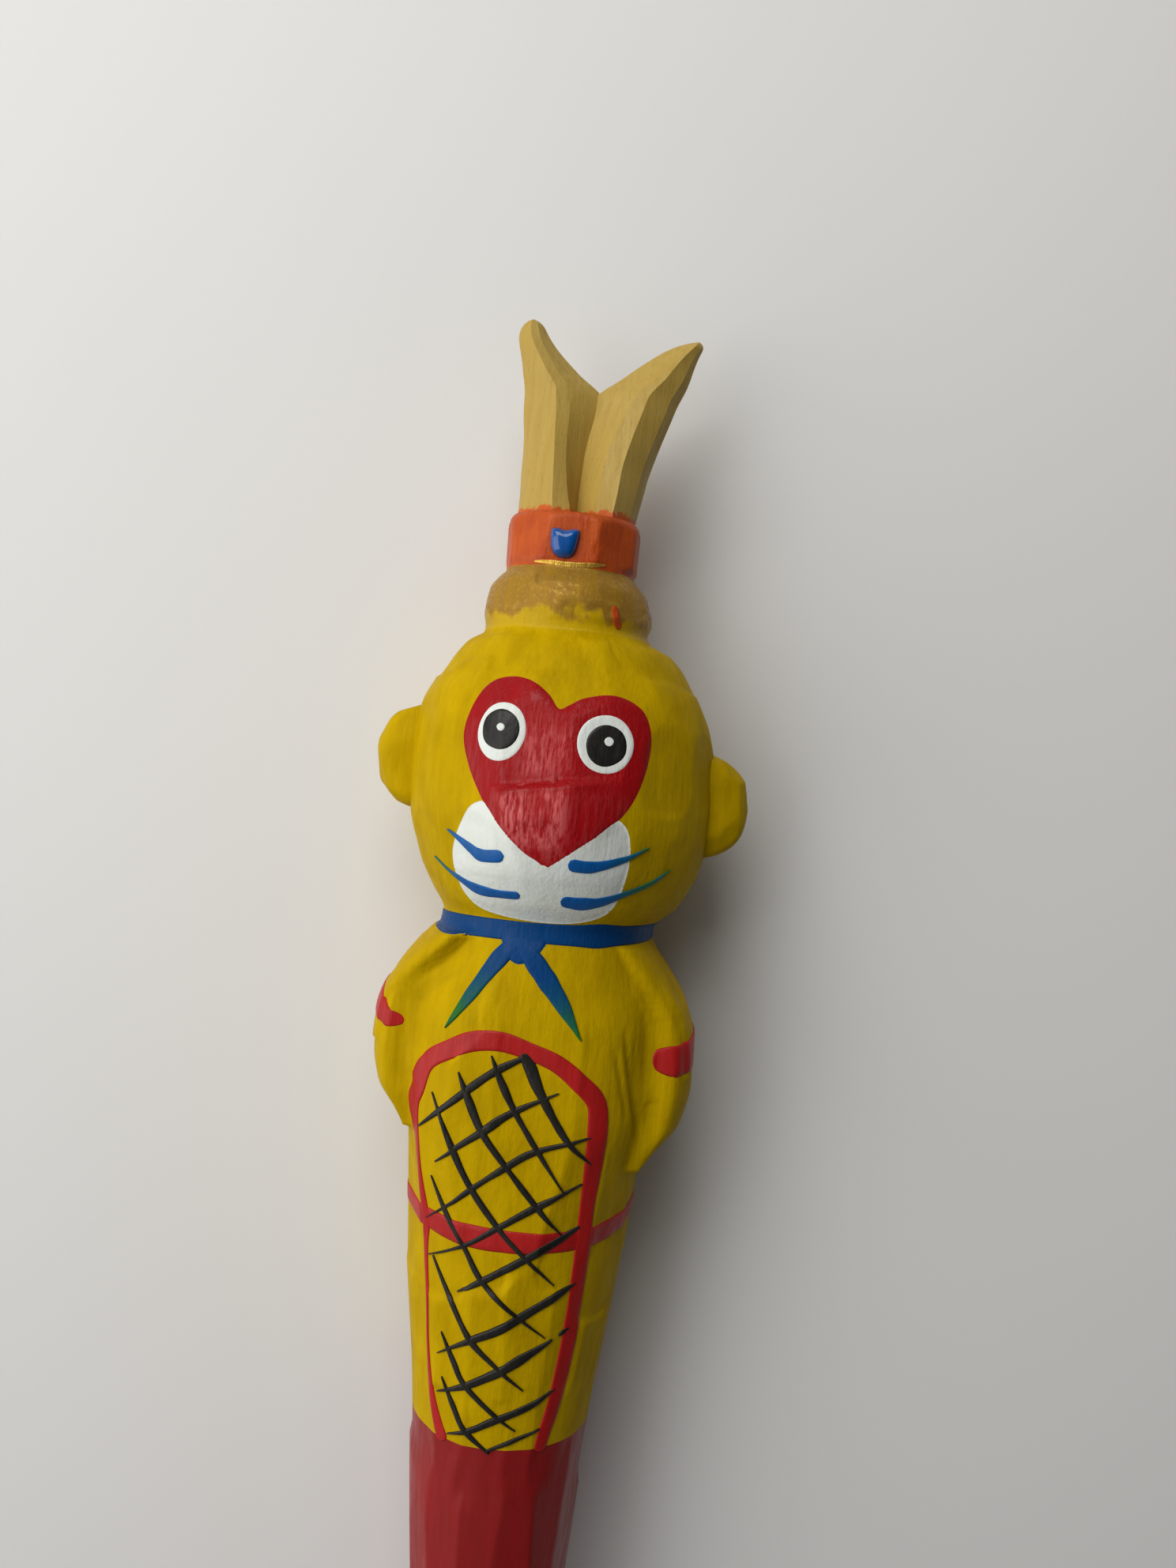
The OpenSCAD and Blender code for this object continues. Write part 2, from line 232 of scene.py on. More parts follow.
def knife_cuts(theta, y, radius, settings):
    """The whittled facets: in each zone, planes touch the smooth form at seeded places and
    are sunk by a seeded depth. A ray meets plane k at r = (N.P - Nx*mx - Ny*y) / (Nx cos + Nz sin).
    The surface is the soft least of all r, each plane losing hold outside its own stroke."""
    rng = np.random.default_rng(KNIFE_SEED)
    edge = np.interp(y[:, :1], NOSE + KNIFE_EDGE_HEIGHTS, KNIFE_EDGE_SOFTNESS) * settings.knife_edge
    total = np.zeros_like(radius)
    middle = middle_x(y)
    cos, sin = np.cos(theta), np.sin(theta)
    for low, high, along, around, depth, spread, start in KNIFE_ZONES:
        length = (high - low) / along
        rows = np.flatnonzero((y[:, 0] > NOSE + low - 4) & (y[:, 0] < NOSE + high + 4))
        for k in range(along * around):
            j, i = divmod(k, around)
            yk = NOSE + low + length * (j + 0.5 + rng.uniform(-0.2, 0.2))
            tk = 2 * np.pi * (start + (i + 0.5 * (j % 2) + rng.uniform(-0.12, 0.12)) / around)
            at = np.array([tk, tk + 0.1, tk - 0.1, tk, tk]), np.array([yk, yk, yk, yk + 0.9, yk - 0.9])
            rk = smooth_radius(*at)
            place = np.stack([middle_x(at[1]) + rk * np.cos(at[0]), at[1], rk * np.sin(at[0])], axis=1)
            normal = np.cross(place[4] - place[3], place[1] - place[2])
            normal /= np.linalg.norm(normal)
            normal *= np.sign(normal[0] * np.cos(tk) + normal[2] * np.sin(tk))
            reach = normal @ place[0] - depth - spread * rng.random()
            facing = normal[0] * cos[rows] + normal[2] * sin[rows]
            r = (reach - normal[0] * middle[rows] - normal[1] * y[rows]) / np.maximum(facing, 0.2)
            past = np.maximum(np.abs(y[rows] - yk) - 0.62 * length, 0)
            turn = np.abs((theta[rows] - tk + np.pi) % (2 * np.pi) - np.pi)
            past = past + np.maximum(turn * radius[rows] - 1.3 * np.pi * radius[rows] / around, 0)
            r = np.where(facing > 0.2, r + 0.3 * past ** 2, 1e3)
            total[rows] += np.exp(-np.clip(r - radius[rows], -0.8, 0.9) / edge[rows])
    cut = radius - edge * np.log(np.maximum(total, 1e-12))
    held = step(y, NOSE + 0.5, NOSE + 2.5)
    deepest = np.interp(y, NOSE + CUT_LIMIT_HEIGHTS, CUT_LIMITS)
    change = np.clip(cut - radius, -deepest, 0.4 * deepest)
    return radius + held * change * settings.knife_strength


def groove(x, y, start, end, width, depth):
    """Gaussian dip along the straight line from start to end."""
    start, end = np.array(start), np.array(end)
    line = end - start
    t = np.clip(((x - start[0]) * line[0] + (y - start[1]) * line[1]) / (line @ line), 0, 1)
    away = (x - start[0] - t * line[0]) ** 2 + (y - start[1] - t * line[1]) ** 2
    return depth * np.exp(-away / width ** 2) * np.sqrt(np.clip(4 * t * (1 - t) + 0.1, 0, 1))


KNIFE_GROOVES = [
    ((6.7, 37.2), (8.6, 28.8), 0.22, 0.28), ((6.1, 36.0), (7.4, 31.0), 0.16, 0.16),
    ((7.4, 36.6), (8.0, 32.6), 0.15, 0.14), ((-9.2, 36.4), (-9.4, 31.8), 0.2, 0.2),
]


class CarvedSurface:
    """The finished outer surface as a table over angle and length, with ways to find the
    point at an angle, or at a place seen from the front."""

    def __init__(self, settings):
        """Angles crowd together on the front: theta = phi + 0.35 cos phi."""
        phi = np.linspace(0, 2 * np.pi, settings.columns, endpoint=False)
        self.theta = phi + 0.35 * np.cos(phi)
        barrel = np.arange(NOSE + 0.5, HEM - 0.8, settings.barrel_step)
        figure = np.linspace(HEM - 0.8, NOSE + 151.6, settings.figure_rows)
        self.y = np.concatenate([barrel, figure[figure > barrel[-1] + 0.1]])
        theta = np.broadcast_to(self.theta[None, :], (len(self.y), len(self.theta)))
        y = np.broadcast_to(self.y[:, None], theta.shape)
        r = smooth_radius(theta, y)
        x = middle_x(y) + r * np.cos(theta)
        front = np.sin(theta) > 0
        for start, end, width, depth in KNIFE_GROOVES:
            r = r - np.where(front, groove(x, y, start, end, width, depth), 0)
        r = knife_cuts(theta, y, r, settings)
        r = r + np.where(front, nose_block(x, y), 0)
        seat = 4.55 / np.maximum(np.sin(theta), 0.3) + 0.6 * np.maximum(np.abs(y - (BAND + 1.95)) - 2.0, 0)
        r = np.where((np.sin(theta) > 0.3) & (y > BAND - 0.6), np.minimum(r, seat), r)
        back = (FLAT + LIFT) / np.minimum(np.sin(theta), -0.2)
        self.r = np.where(np.sin(theta) < -0.2, np.minimum(r, back), r)

    def radius(self, theta, y):
        """Bilinear reading of the table."""
        row = np.interp(y, self.y, np.arange(len(self.y)))
        turn = 2 * np.pi
        start = self.theta[0]
        wide = np.append(self.theta, start + turn)
        column = np.interp((theta - start) % turn + start, wide, np.arange(len(wide)))
        i = np.minimum(row.astype(int), len(self.y) - 2)
        j = np.minimum(column.astype(int), len(self.theta) - 1)
        u, v = row - i, column - j
        n = (j + 1) % len(self.theta)
        return ((1 - u) * ((1 - v) * self.r[i, j] + v * self.r[i, n])
                + u * ((1 - v) * self.r[i + 1, j] + v * self.r[i + 1, n]))

    def point(self, theta, y, lift=0.0):
        """Point at this angle and length, lifted off the wood."""
        r = self.radius(theta, y) + lift
        z = np.maximum(AXIS + r * np.sin(theta), 0.05 * LIFT)
        return np.stack([middle_x(y) + r * np.cos(theta), y + 0 * r, z], axis=-1)

    def angle(self, x, y):
        """Angle of the front point at this x: halving the span, because x falls as the angle grows."""
        low, high = np.full(np.shape(x), 0.02), np.full(np.shape(x), np.pi - 0.02)
        for _ in range(26):
            mid = (low + high) / 2
            right = middle_x(y) + self.radius(mid, y) * np.cos(mid) > x
            low, high = np.where(right, mid, low), np.where(right, high, mid)
        return (low + high) / 2


# ---------------------------------------------------------------- meshes

def grid_faces(rows, columns, closed=True):
    """Quads between neighbouring rows and columns, as indices into rows times columns."""
    i, j = np.meshgrid(np.arange(rows - 1), np.arange(columns if closed else columns - 1),
                       indexing="ij")
    n = (j + 1) % columns
    corners = [i * columns + j, i * columns + n, (i + 1) * columns + n, (i + 1) * columns + j]
    return np.stack(corners, axis=-1).reshape(-1, 4)


class Shape:
    """Vertices and faces being gathered for one piece."""

    def __init__(self):
        self.points, self.quads, self.fans, self.thin = [], [], [], []
        self.slots, self.count = None, 0

    def tube(self, rings, thin=None, slots=None, closed=False):
        """Adds rings of points (row, column, xyz). The two ends run to a point in their
        middle, or meet each other if closed. The mesh is turned so that its volume is positive."""
        rows, columns, _ = rings.shape
        points = rings.reshape(-1, 3)
        quads = grid_faces(rows, columns)
        fans = np.zeros((0, 3), int)
        j = np.arange(columns)
        n = (j + 1) % columns
        last = (rows - 1) * columns
        if closed:
            quads = np.concatenate([quads, np.stack([last + j, last + n, n, j], axis=1)])
        else:
            points = np.concatenate([points, rings[0].mean(axis=0)[None], rings[-1].mean(axis=0)[None]])
            first = np.stack([n, j, np.full(columns, len(points) - 2)], axis=1)
            end = np.stack([last + j, last + n, np.full(columns, len(points) - 1)], axis=1)
            fans = np.concatenate([first, end])
        a, b, c, d = (points[quads[:, k]] for k in range(4))
        volume = (a * (np.cross(b, c) + np.cross(c, d))).sum()
        a, b, c = (points[fans[:, k]] for k in range(3))
        volume += (a * np.cross(b, c)).sum()
        if volume < 0:
            quads, fans = quads[:, ::-1], fans[:, ::-1]
        self.points.append(points)
        self.quads.append(quads + self.count)
        self.fans.append(fans + self.count)
        faint = 0.0 if thin is None else thin
        self.thin.append(np.resize(np.broadcast_to(faint, rings.shape[:2]), len(points)))
        self.slots = slots
        self.count += len(points)

    def build(self, name, materials, sharp=None):
        """Makes the object, at the origin, from everything gathered."""
        mesh = bpy.data.meshes.new(name)
        quads, fans = np.concatenate(self.quads), np.concatenate(self.fans)
        mesh.from_pydata((np.concatenate(self.points) * MM).tolist(), [], quads.tolist() + fans.tolist())
        for material in materials:
            mesh.materials.append(material)
        mesh.polygons.foreach_set("use_smooth", np.ones(len(mesh.polygons), bool))
        if self.slots is not None:
            rest = len(mesh.polygons) - len(self.slots)
            picks = np.concatenate([self.slots, np.full(rest, self.slots[-1])])
            mesh.polygons.foreach_set("material_index", picks.astype(np.int32))
        layer = mesh.attributes.new("thin", "FLOAT", "POINT")
        layer.data.foreach_set("value", np.concatenate(self.thin).astype(np.float32))
        if sharp is not None:
            mesh.set_sharp_from_angle(angle=sharp)
        mesh.validate()
        mesh.update()
        piece = bpy.data.objects.new(name, mesh)
        bpy.context.scene.collection.objects.link(piece)
        return piece


def settle(piece, body, node):
    """Ties a finished piece to its body and hides the imported part that it stands for."""
    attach(piece, body)
    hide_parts(node)
    return piece


def on_wood(shape, name, materials, sharp=None):
    """Builds a piece that belongs to the carved body and ties it there."""
    return settle(shape.build(name, materials, sharp), "carving", "carved_body")


SINK = 0.08       # how far the underside of a coat of paint goes into the wood


def bead(columns, lift):
    """Section of a stroke or ring, as places across and heights: a lens on top, flat below."""
    turn = 2 * np.pi * np.arange(columns) / columns
    height = np.where(np.sin(turn) > -0.01, lift * np.abs(np.sin(turn)) ** 0.35, -SINK)
    return np.cos(turn)[None, :], height[None, :]


def add_patch(shape, surface, outline, lift, rings=20, count=150, seed=1, wobble=0.03,
              centre=None, thin=None):
    """A coat of paint inside a closed outline of (x, y): rings shrink from the outline to
    its centre, the top stands lift above the wood and rolls down to it at the rim."""
    edge = through(outline, count, closed=True)
    centre = edge.mean(axis=0) if centre is None else np.asarray(centre, float)
    out = edge - centre
    size = np.linalg.norm(out, axis=1)
    edge = centre + out * (1 + waver(np.arange(count) / count, seed, wobble) / size)[:, None]
    s = np.linspace(0.04, 1, rings) ** 0.8
    s = np.append(s, 1.0)                       # the rim is doubled, for a crisp edge
    height = lift * np.sqrt(np.clip(1 - s ** 14, 0, 1))
    s = np.concatenate([s, [0.985, 0.6, 0.2]])
    height = np.concatenate([height, [-SINK, -SINK, -SINK]])
    xy = centre + s[:, None, None] * (edge - centre)[None]
    theta = surface.angle(xy[..., 0], xy[..., 1])
    faint = None if thin is None else thin(xy[..., 0], xy[..., 1])
    shape.tube(surface.point(theta, xy[..., 1], height[:, None]), thin=faint)


def oval(x, y, across, along, lean=0.0, count=14):
    """Points of an ellipse with its middle at (x, y), leant by lean degrees."""
    t = np.linspace(0, 2 * np.pi, count, endpoint=False)
    u, v = across / 2 * np.cos(t), along / 2 * np.sin(t)
    c, s = math.cos(math.radians(lean)), math.sin(math.radians(lean))
    return np.stack([x + c * u - s * v, y + s * u + c * v], axis=1)


def add_stroke(shape, surface, path, lift, seed=1, wobble=0.04, columns=14, thin=None,
               by_angle=False, density=6.0):
    """A brush stroke: a flat bead carried along a smooth path of (x, y, width), or of
    (angle in degrees, y, width). Across the path the bead is a rounded lens, and its width
    closes to a half circle at both ends."""
    path = np.asarray(path, float)
    length = np.hypot(*np.diff(path[:, :2] * ([0.15, 1] if by_angle else [1, 1]), axis=0).T).sum()
    count = max(14, int(length * density))
    line = through(path, count)
    y, width = line[:, 1], np.maximum(line[:, 2], 0.04)
    theta = np.radians(line[:, 0]) if by_angle else surface.angle(line[:, 0], y)
    r = surface.radius(theta, y)
    forward = np.stack([np.gradient(theta) * r, np.gradient(y)], axis=1)
    walked = np.concatenate([[0], np.cumsum(np.linalg.norm(forward[1:], axis=1))])
    forward /= np.linalg.norm(forward, axis=1)[:, None]
    share = walked / walked[-1]
    width = width * (1 + waver(share, seed, wobble) * np.sqrt(walked[-1]) * 0.5)
    left = np.minimum(walked, walked[-1] - walked) / (width / 2)
    width = width * np.sqrt(np.clip(1 - (1 - np.clip(left, 0, 1)) ** 2, 0.002, 1))
    lens, height = bead(columns, lift)
    across = lens * width[:, None] / 2
    height = np.broadcast_to(height, across.shape)
    theta = theta[:, None] - across * forward[:, 1:2] / r[:, None]
    y = y[:, None] + across * forward[:, 0:1]
    faint = None if thin is None else np.interp(share, np.linspace(0, 1, len(thin)), thin)[:, None]
    shape.tube(surface.point(theta, y, height), thin=faint)


def add_ring(shape, surface, middle, width, lift, seed=1, wobble=0.06, count=260, columns=12):
    """A painted band right round the wood. Its middle and width are functions of the angle."""
    t = np.arange(count) / count
    theta = 2 * np.pi * t
    y = middle(theta) + waver(t, seed, wobble)
    w = width(theta) * (1 + waver(t, seed + 1, wobble))
    lens, height = bead(columns, lift)
    across = lens * w[:, None] / 2
    height = np.broadcast_to(height, across.shape)
    around = np.broadcast_to(theta[:, None], across.shape)
    shape.tube(surface.point(around, y[:, None] + across, height), closed=True)


def lathe(profile, columns=64):
    """Rings of points from a profile of (radius, y) turned round the pen's axis."""
    profile = np.asarray(profile, float)
    turn = 2 * np.pi * np.arange(columns) / columns
    along = np.broadcast_to(profile[:, 1:], (len(profile), columns))
    return np.stack([profile[:, :1] * np.cos(turn), along,
                     AXIS + profile[:, :1] * np.sin(turn)], axis=-1)


# ---------------------------------------------------------------- materials

def linear(red, green, blue):
    """Colour from 0 to 255 as seen, turned into the linear values that a shader takes."""
    c = np.array([red, green, blue]) / 255
    values = np.where(c <= 0.04045, c / 12.92, ((c + 0.055) / 1.055) ** 2.4)
    return tuple(float(v) for v in values) + (1.0,)


def tinted(colour, share):
    """The colour with its three parts multiplied by a share."""
    return tuple(share * c for c in colour[:3]) + (1.0,)


class Nodes:
    """Short ways to add nodes to one tree."""

    def __init__(self, tree):
        self.tree = tree

    def add(self, kind, inputs=None, **values):
        """Adds a node, sets its properties, and feeds its inputs with numbers or sockets."""
        node = self.tree.nodes.new(kind)
        for name, value in values.items():
            setattr(node, name, value)
        for name, value in (inputs or {}).items():
            self.feed(node.inputs[name], value)
        return node

    def feed(self, socket, value):
        """Links a socket to the input, or sets the input's own number."""
        if isinstance(value, bpy.types.NodeSocket):
            self.tree.links.new(value, socket)
        else:
            socket.default_value = value

    def maths(self, operation, a, b=0.0, clamp=False):
        """One sum, as a value."""
        return self.add("ShaderNodeMath", {0: a, 1: b}, operation=operation, use_clamp=clamp).outputs[0]

    def span(self, value, low, high, start=0.0, end=1.0):
        """Value carried from the span low..high to start..end, with smooth ends."""
        return self.add("ShaderNodeMapRange", {"Value": value, "From Min": low, "From Max": high,
                                               "To Min": start, "To Max": end},
                        interpolation_type="SMOOTHSTEP").outputs["Result"]

    def mix(self, share, a, b, blend="MIX"):
        """Two colours mixed by a share."""
        node = self.add("ShaderNodeMix", data_type="RGBA", blend_type=blend)
        self.feed(node.inputs["Factor"], share)
        self.feed(node.inputs["A"], a)
        self.feed(node.inputs["B"], b)
        return node.outputs["Result"]

    def noise(self, vector, scale, detail=2.0, roughness=0.5):
        """Cloudy noise from 0 to 1."""
        return self.add("ShaderNodeTexNoise", {"Vector": vector, "Scale": scale, "Detail": detail,
                                               "Roughness": roughness}).outputs["Fac"]


def node_group(name, inputs, outputs):
    """A new shader node group with named sockets; returns its nodes, input and output."""
    tree = bpy.data.node_groups.new(name, "ShaderNodeTree")
    for title, value in inputs:
        socket = tree.interface.new_socket(title, in_out="INPUT", socket_type="NodeSocketFloat")
        socket.default_value = value
    for title in outputs:
        tree.interface.new_socket(title, in_out="OUTPUT", socket_type="NodeSocketFloat")
    nodes = Nodes(tree)
    return nodes, nodes.add("NodeGroupInput"), nodes.add("NodeGroupOutput")


def stretched(nodes, along, fineness):
    """Object coordinates in millimetres, drawn out along the pen, times a fineness."""
    place = nodes.add("ShaderNodeTexCoord").outputs["Object"]
    size = nodes.add("ShaderNodeCombineXYZ", {"X": 1000.0, "Y": along, "Z": 1000.0}).outputs[0]
    vector = nodes.add("ShaderNodeVectorMath", {0: place, 1: size}, operation="MULTIPLY").outputs[0]
    return nodes.add("ShaderNodeVectorMath", {0: vector, "Scale": fineness}, operation="SCALE").outputs[0]


def brush_group():
    """Brush marks: fine hair lines and broad uneven bands along the pen, and soft blotches."""
    nodes, given, result = node_group(
        "Brush marks", [("Fineness", 1.0)], ["Hairs", "Bands", "Blotches", "Height"])
    fine = given.outputs["Fineness"]
    hairs = nodes.noise(stretched(nodes, 90.0, fine), 3.2, 3.0, 0.6)
    bands = nodes.noise(stretched(nodes, 160.0, fine), 0.85, 2.0, 0.5)
    blotches = nodes.noise(stretched(nodes, 700.0, fine), 0.42, 3.0, 0.55)
    pits = nodes.noise(stretched(nodes, 800.0, fine), 2.2, 2.0, 0.5)
    nodes.feed(result.inputs["Hairs"], nodes.span(hairs, 0.3, 0.7))
    nodes.feed(result.inputs["Bands"], nodes.span(bands, 0.3, 0.7))
    nodes.feed(result.inputs["Blotches"], nodes.span(blotches, 0.32, 0.68))
    height = nodes.maths("ADD", nodes.maths("MULTIPLY", hairs, 0.55), nodes.maths("MULTIPLY", bands, 0.7))
    nodes.feed(result.inputs["Height"], nodes.maths("ADD", height, nodes.maths("MULTIPLY", pits, 0.5)))
    return nodes.tree


def grain_group():
    """Grain of a light, close wood: growth lines along the pen, pores as short dark flecks."""
    nodes, given, result = node_group(
        "Wood grain", [("Fineness", 1.0)], ["Lines", "Pores", "Shade", "Height"])
    fine = given.outputs["Fineness"]
    lines = nodes.noise(stretched(nodes, 45.0, fine), 2.4, 4.0, 0.62)
    pores = nodes.noise(stretched(nodes, 220.0, fine), 6.5, 2.0, 0.5)
    shade = nodes.noise(stretched(nodes, 150.0, fine), 0.45, 2.0, 0.5)
    nodes.feed(result.inputs["Lines"], nodes.span(lines, 0.34, 0.68))
    nodes.feed(result.inputs["Pores"], nodes.span(pores, 0.6, 0.72))
    nodes.feed(result.inputs["Shade"], nodes.span(shade, 0.3, 0.7))
    nodes.feed(result.inputs["Height"], nodes.maths("SUBTRACT", lines, nodes.maths("MULTIPLY", pores, 0.4)))
    return nodes.tree


def group_node(nodes, tree, fineness=1.0):
    """Places a shared group in a material."""
    node = nodes.add("ShaderNodeGroup", node_tree=tree)
    node.inputs["Fineness"].default_value = fineness
    return node


def new_material(name, roughness=0.4, coat=0.0, metallic=0.0, specular=0.3):
    """An empty material with its own shader; returns the material, its nodes and the shader."""
    material = bpy.data.materials.new(name)
    material.use_nodes = True
    nodes = Nodes(material.node_tree)
    shader = material.node_tree.nodes["Principled BSDF"]
    shader.inputs["Roughness"].default_value = roughness
    shader.inputs["Metallic"].default_value = metallic
    shader.inputs["Specular IOR Level"].default_value = specular
    shader.inputs["Coat Weight"].default_value = coat
    shader.inputs["Coat Roughness"].default_value = 0.25
    return material, nodes, shader


def cloudy(nodes, noise, span, colour, share):
    """The colour, drawn by a noise over a span towards a tint of itself."""
    return nodes.mix(nodes.span(noise, *span), colour, tinted(colour, share))


def bump(nodes, shader, height, strength, distance):
    """Height into the shader's normal."""
    node = nodes.add("ShaderNodeBump", {"Height": height, "Strength": strength, "Distance": distance})
    nodes.feed(shader.inputs["Normal"], node.outputs["Normal"])


def paint_material(name, full, worn, roughness, relief, fineness=1.0, coat=0.0, patchy=0.5,
                   under=None, specular=0.25, gloss=0.0, streaky=False):
    """A hand-brushed coat: the full colour, drawn towards the worn colour in bands and
    blotches, and towards the under colour where the attribute thin is high, evenly or in
    streaks. For most paints that marks a thin coat over another colour; on the face it marks
    a painted highlight. Gloss is a clear film that lies in streaks too."""
    material, nodes, shader = new_material(name, roughness, coat, specular=specular)
    marks = group_node(nodes, brush(), fineness)
    hairs, bands, blotches = (marks.outputs[k] for k in ("Hairs", "Bands", "Blotches"))
    share = nodes.maths("MULTIPLY", nodes.maths("ADD", bands, blotches), patchy / 2)
    share = nodes.maths("ADD", share, nodes.maths("MULTIPLY", hairs, patchy * 0.2), clamp=True)
    colour = nodes.mix(share, full, worn)
    if under is not None:
        thin = nodes.add("ShaderNodeAttribute", attribute_name="thin").outputs["Fac"]
        if streaky:
            broken = nodes.maths("MULTIPLY", nodes.span(hairs, 0.1, 0.9, 0.1, 1.1),
                                 nodes.span(blotches, 0.1, 0.7, 0.45, 1.1))
        else:
            broken = nodes.span(blotches, 0.0, 0.8, 0.7, 1.0)
        thin = nodes.maths("MULTIPLY", thin, broken, clamp=True)
        colour = nodes.mix(thin, colour, under)
    nodes.feed(shader.inputs["Base Color"], colour)
    nodes.feed(shader.inputs["Roughness"], nodes.span(hairs, 0.0, 1.0, roughness - 0.07, roughness + 0.1))
    if gloss:
        wet = nodes.maths("MULTIPLY", hairs, nodes.maths("ADD", bands, 0.35))
        nodes.feed(shader.inputs["Coat Weight"], nodes.span(wet, 0.1, 0.9, 0.0, gloss))
    bump(nodes, shader, marks.outputs["Height"], relief, 0.00012)
    return material


def hoop_material(colours):
    """Gold mica paint: flakes that catch the light, and yellow dragged over its lower edge."""
    material, nodes, shader = new_material("gold_paint", 0.38, 0.0, specular=0.15)
    marks = group_node(nodes, brush(), 1.4)
    place = nodes.add("ShaderNodeTexCoord").outputs["Object"]
    flakes = nodes.add("ShaderNodeTexVoronoi", {"Vector": place, "Scale": 5200.0}).outputs["Color"]
    flake = nodes.add("ShaderNodeSeparateColor", {"Color": flakes}).outputs[0]
    bright = nodes.span(flake, 0.75, 1.0)
    colour = nodes.mix(marks.outputs["Bands"], colours.hoop_gold, colours.hoop_brown)
    colour = nodes.mix(nodes.maths("MULTIPLY", bright, 0.4), colour, FLAKE_GOLD)
    along = nodes.add("ShaderNodeSeparateXYZ", {"Vector": place})
    ragged = nodes.maths("MULTIPLY", nodes.maths("SUBTRACT", marks.outputs["Blotches"], 0.5), 0.0012)
    height = nodes.maths("ADD", along.outputs["Y"], ragged)
    front = nodes.span(along.outputs["Z"], (AXIS - 1) * MM, (AXIS + 5) * MM)
    smear = nodes.span(height, (HOOP + 1.45) * MM, (HOOP + 0.75) * MM)
    front = nodes.maths("ADD", nodes.maths("MULTIPLY", front, 0.65), 0.3)
    smear = nodes.maths("MULTIPLY", smear, front, clamp=True)
    nodes.feed(shader.inputs["Base Color"], nodes.mix(smear, colour, colours.yellow))
    bare = nodes.maths("SUBTRACT", 1.0, smear)
    nodes.feed(shader.inputs["Metallic"], nodes.maths("MULTIPLY", bare, 0.2))
    nodes.feed(shader.inputs["Roughness"], nodes.span(flake, 0.0, 1.0, 0.55, 0.3))
    relief = nodes.maths("ADD", marks.outputs["Height"], nodes.maths("MULTIPLY", flake, 0.25))
    bump(nodes, shader, relief, 0.5, 0.0001)
    return material


def wood_material(colours):
    """Bare carved wood, with the band's orange soaked into its foot."""
    material, nodes, shader = new_material("bare_wood", 0.55)
    marks = group_node(nodes, shared(bpy.data.node_groups, "Wood grain", grain_group))
    colour = colours.wood_light
    for mark, share, other in (("Lines", 0.55, colours.wood_dark), ("Shade", 0.45, colours.wood_warm),
                               ("Pores", 0.3, colours.wood_pore)):
        colour = nodes.mix(nodes.maths("MULTIPLY", marks.outputs[mark], share), colour, other)
    place = nodes.add("ShaderNodeTexCoord").outputs["Object"]
    place = nodes.add("ShaderNodeSeparateXYZ", {"Vector": place})
    rough = nodes.noise(stretched(nodes, 600.0, 1.0), 2.6, 3.0)
    ragged = nodes.maths("MULTIPLY", nodes.maths("SUBTRACT", rough, 0.5), 0.0013)
    height = nodes.maths("ADD", place.outputs["Y"], ragged)
    stain = nodes.span(height, (CROWN + 0.42) * MM, (CROWN + 0.2) * MM)
    nodes.feed(shader.inputs["Base Color"], nodes.mix(stain, colour, colours.orange))
    nodes.feed(shader.inputs["Roughness"], nodes.span(marks.outputs["Lines"], 0.0, 1.0, 0.46, 0.62))
    bump(nodes, shader, marks.outputs["Height"], 0.35, 0.00012)
    return material


def metal_material(name, colour, roughness):
    """Turned metal: fine rings round the axis in the polish."""
    material, nodes, shader = new_material(name, roughness, metallic=1.0)
    place = nodes.add("ShaderNodeTexCoord").outputs["Object"]
    rings = nodes.add("ShaderNodeVectorMath", {0: place, 1: (300.0, 26000.0, 300.0)},
                      operation="MULTIPLY").outputs[0]
    lines = nodes.noise(rings, 1.0, 2.0)
    dull = nodes.noise(place, 900.0, 3.0)
    nodes.feed(shader.inputs["Base Color"], cloudy(nodes, dull, (0.35, 0.7, 0.0, 0.35), colour, 0.6))
    nodes.feed(shader.inputs["Roughness"], nodes.span(lines, 0.3, 0.7, roughness - 0.06, roughness + 0.1))
    bump(nodes, shader, lines, 0.12, 0.00003)
    return material


def tube_material(colour):
    """Milky plastic that the ink shows through."""
    material, nodes, shader = new_material("milky_tube", 0.22)
    shader.inputs["Transmission Weight"].default_value = 0.75
    shader.inputs["IOR"].default_value = 1.45
    place = nodes.add("ShaderNodeTexCoord").outputs["Object"]
    haze = nodes.noise(place, 1500.0, 3.0)
    nodes.feed(shader.inputs["Base Color"], cloudy(nodes, haze, (0.3, 0.7, 0.0, 0.4), colour, 0.9))
    nodes.feed(shader.inputs["Roughness"], nodes.span(haze, 0.3, 0.7, 0.2, 0.32))
    return material


def ink_material(colour):
    """Thick ink, nearly black, with a slow change of depth."""
    material, nodes, shader = new_material("ink_paste", 0.2)
    place = nodes.add("ShaderNodeTexCoord").outputs["Object"]
    depth = nodes.noise(place, 260.0, 2.0)
    nodes.feed(shader.inputs["Base Color"], nodes.mix(depth, colour, tinted(colour, 1.8)))
    bump(nodes, shader, depth, 0.05, 0.0001)
    return material


def enamel_material(colour):
    """A thick glossy drop: smooth, slightly cloudy, with small dimples from the brush."""
    material, nodes, shader = new_material("blue_drop", 0.16, 0.6)
    shader.inputs["Coat Roughness"].default_value = 0.06
    place = nodes.add("ShaderNodeTexCoord").outputs["Object"]
    cloud = nodes.noise(place, 900.0, 2.0)
    nodes.feed(shader.inputs["Base Color"], cloudy(nodes, cloud, (0.3, 0.7), colour, 1.35))
    bump(nodes, shader, nodes.noise(place, 1400.0, 1.0), 0.25, 0.00015)
    return material


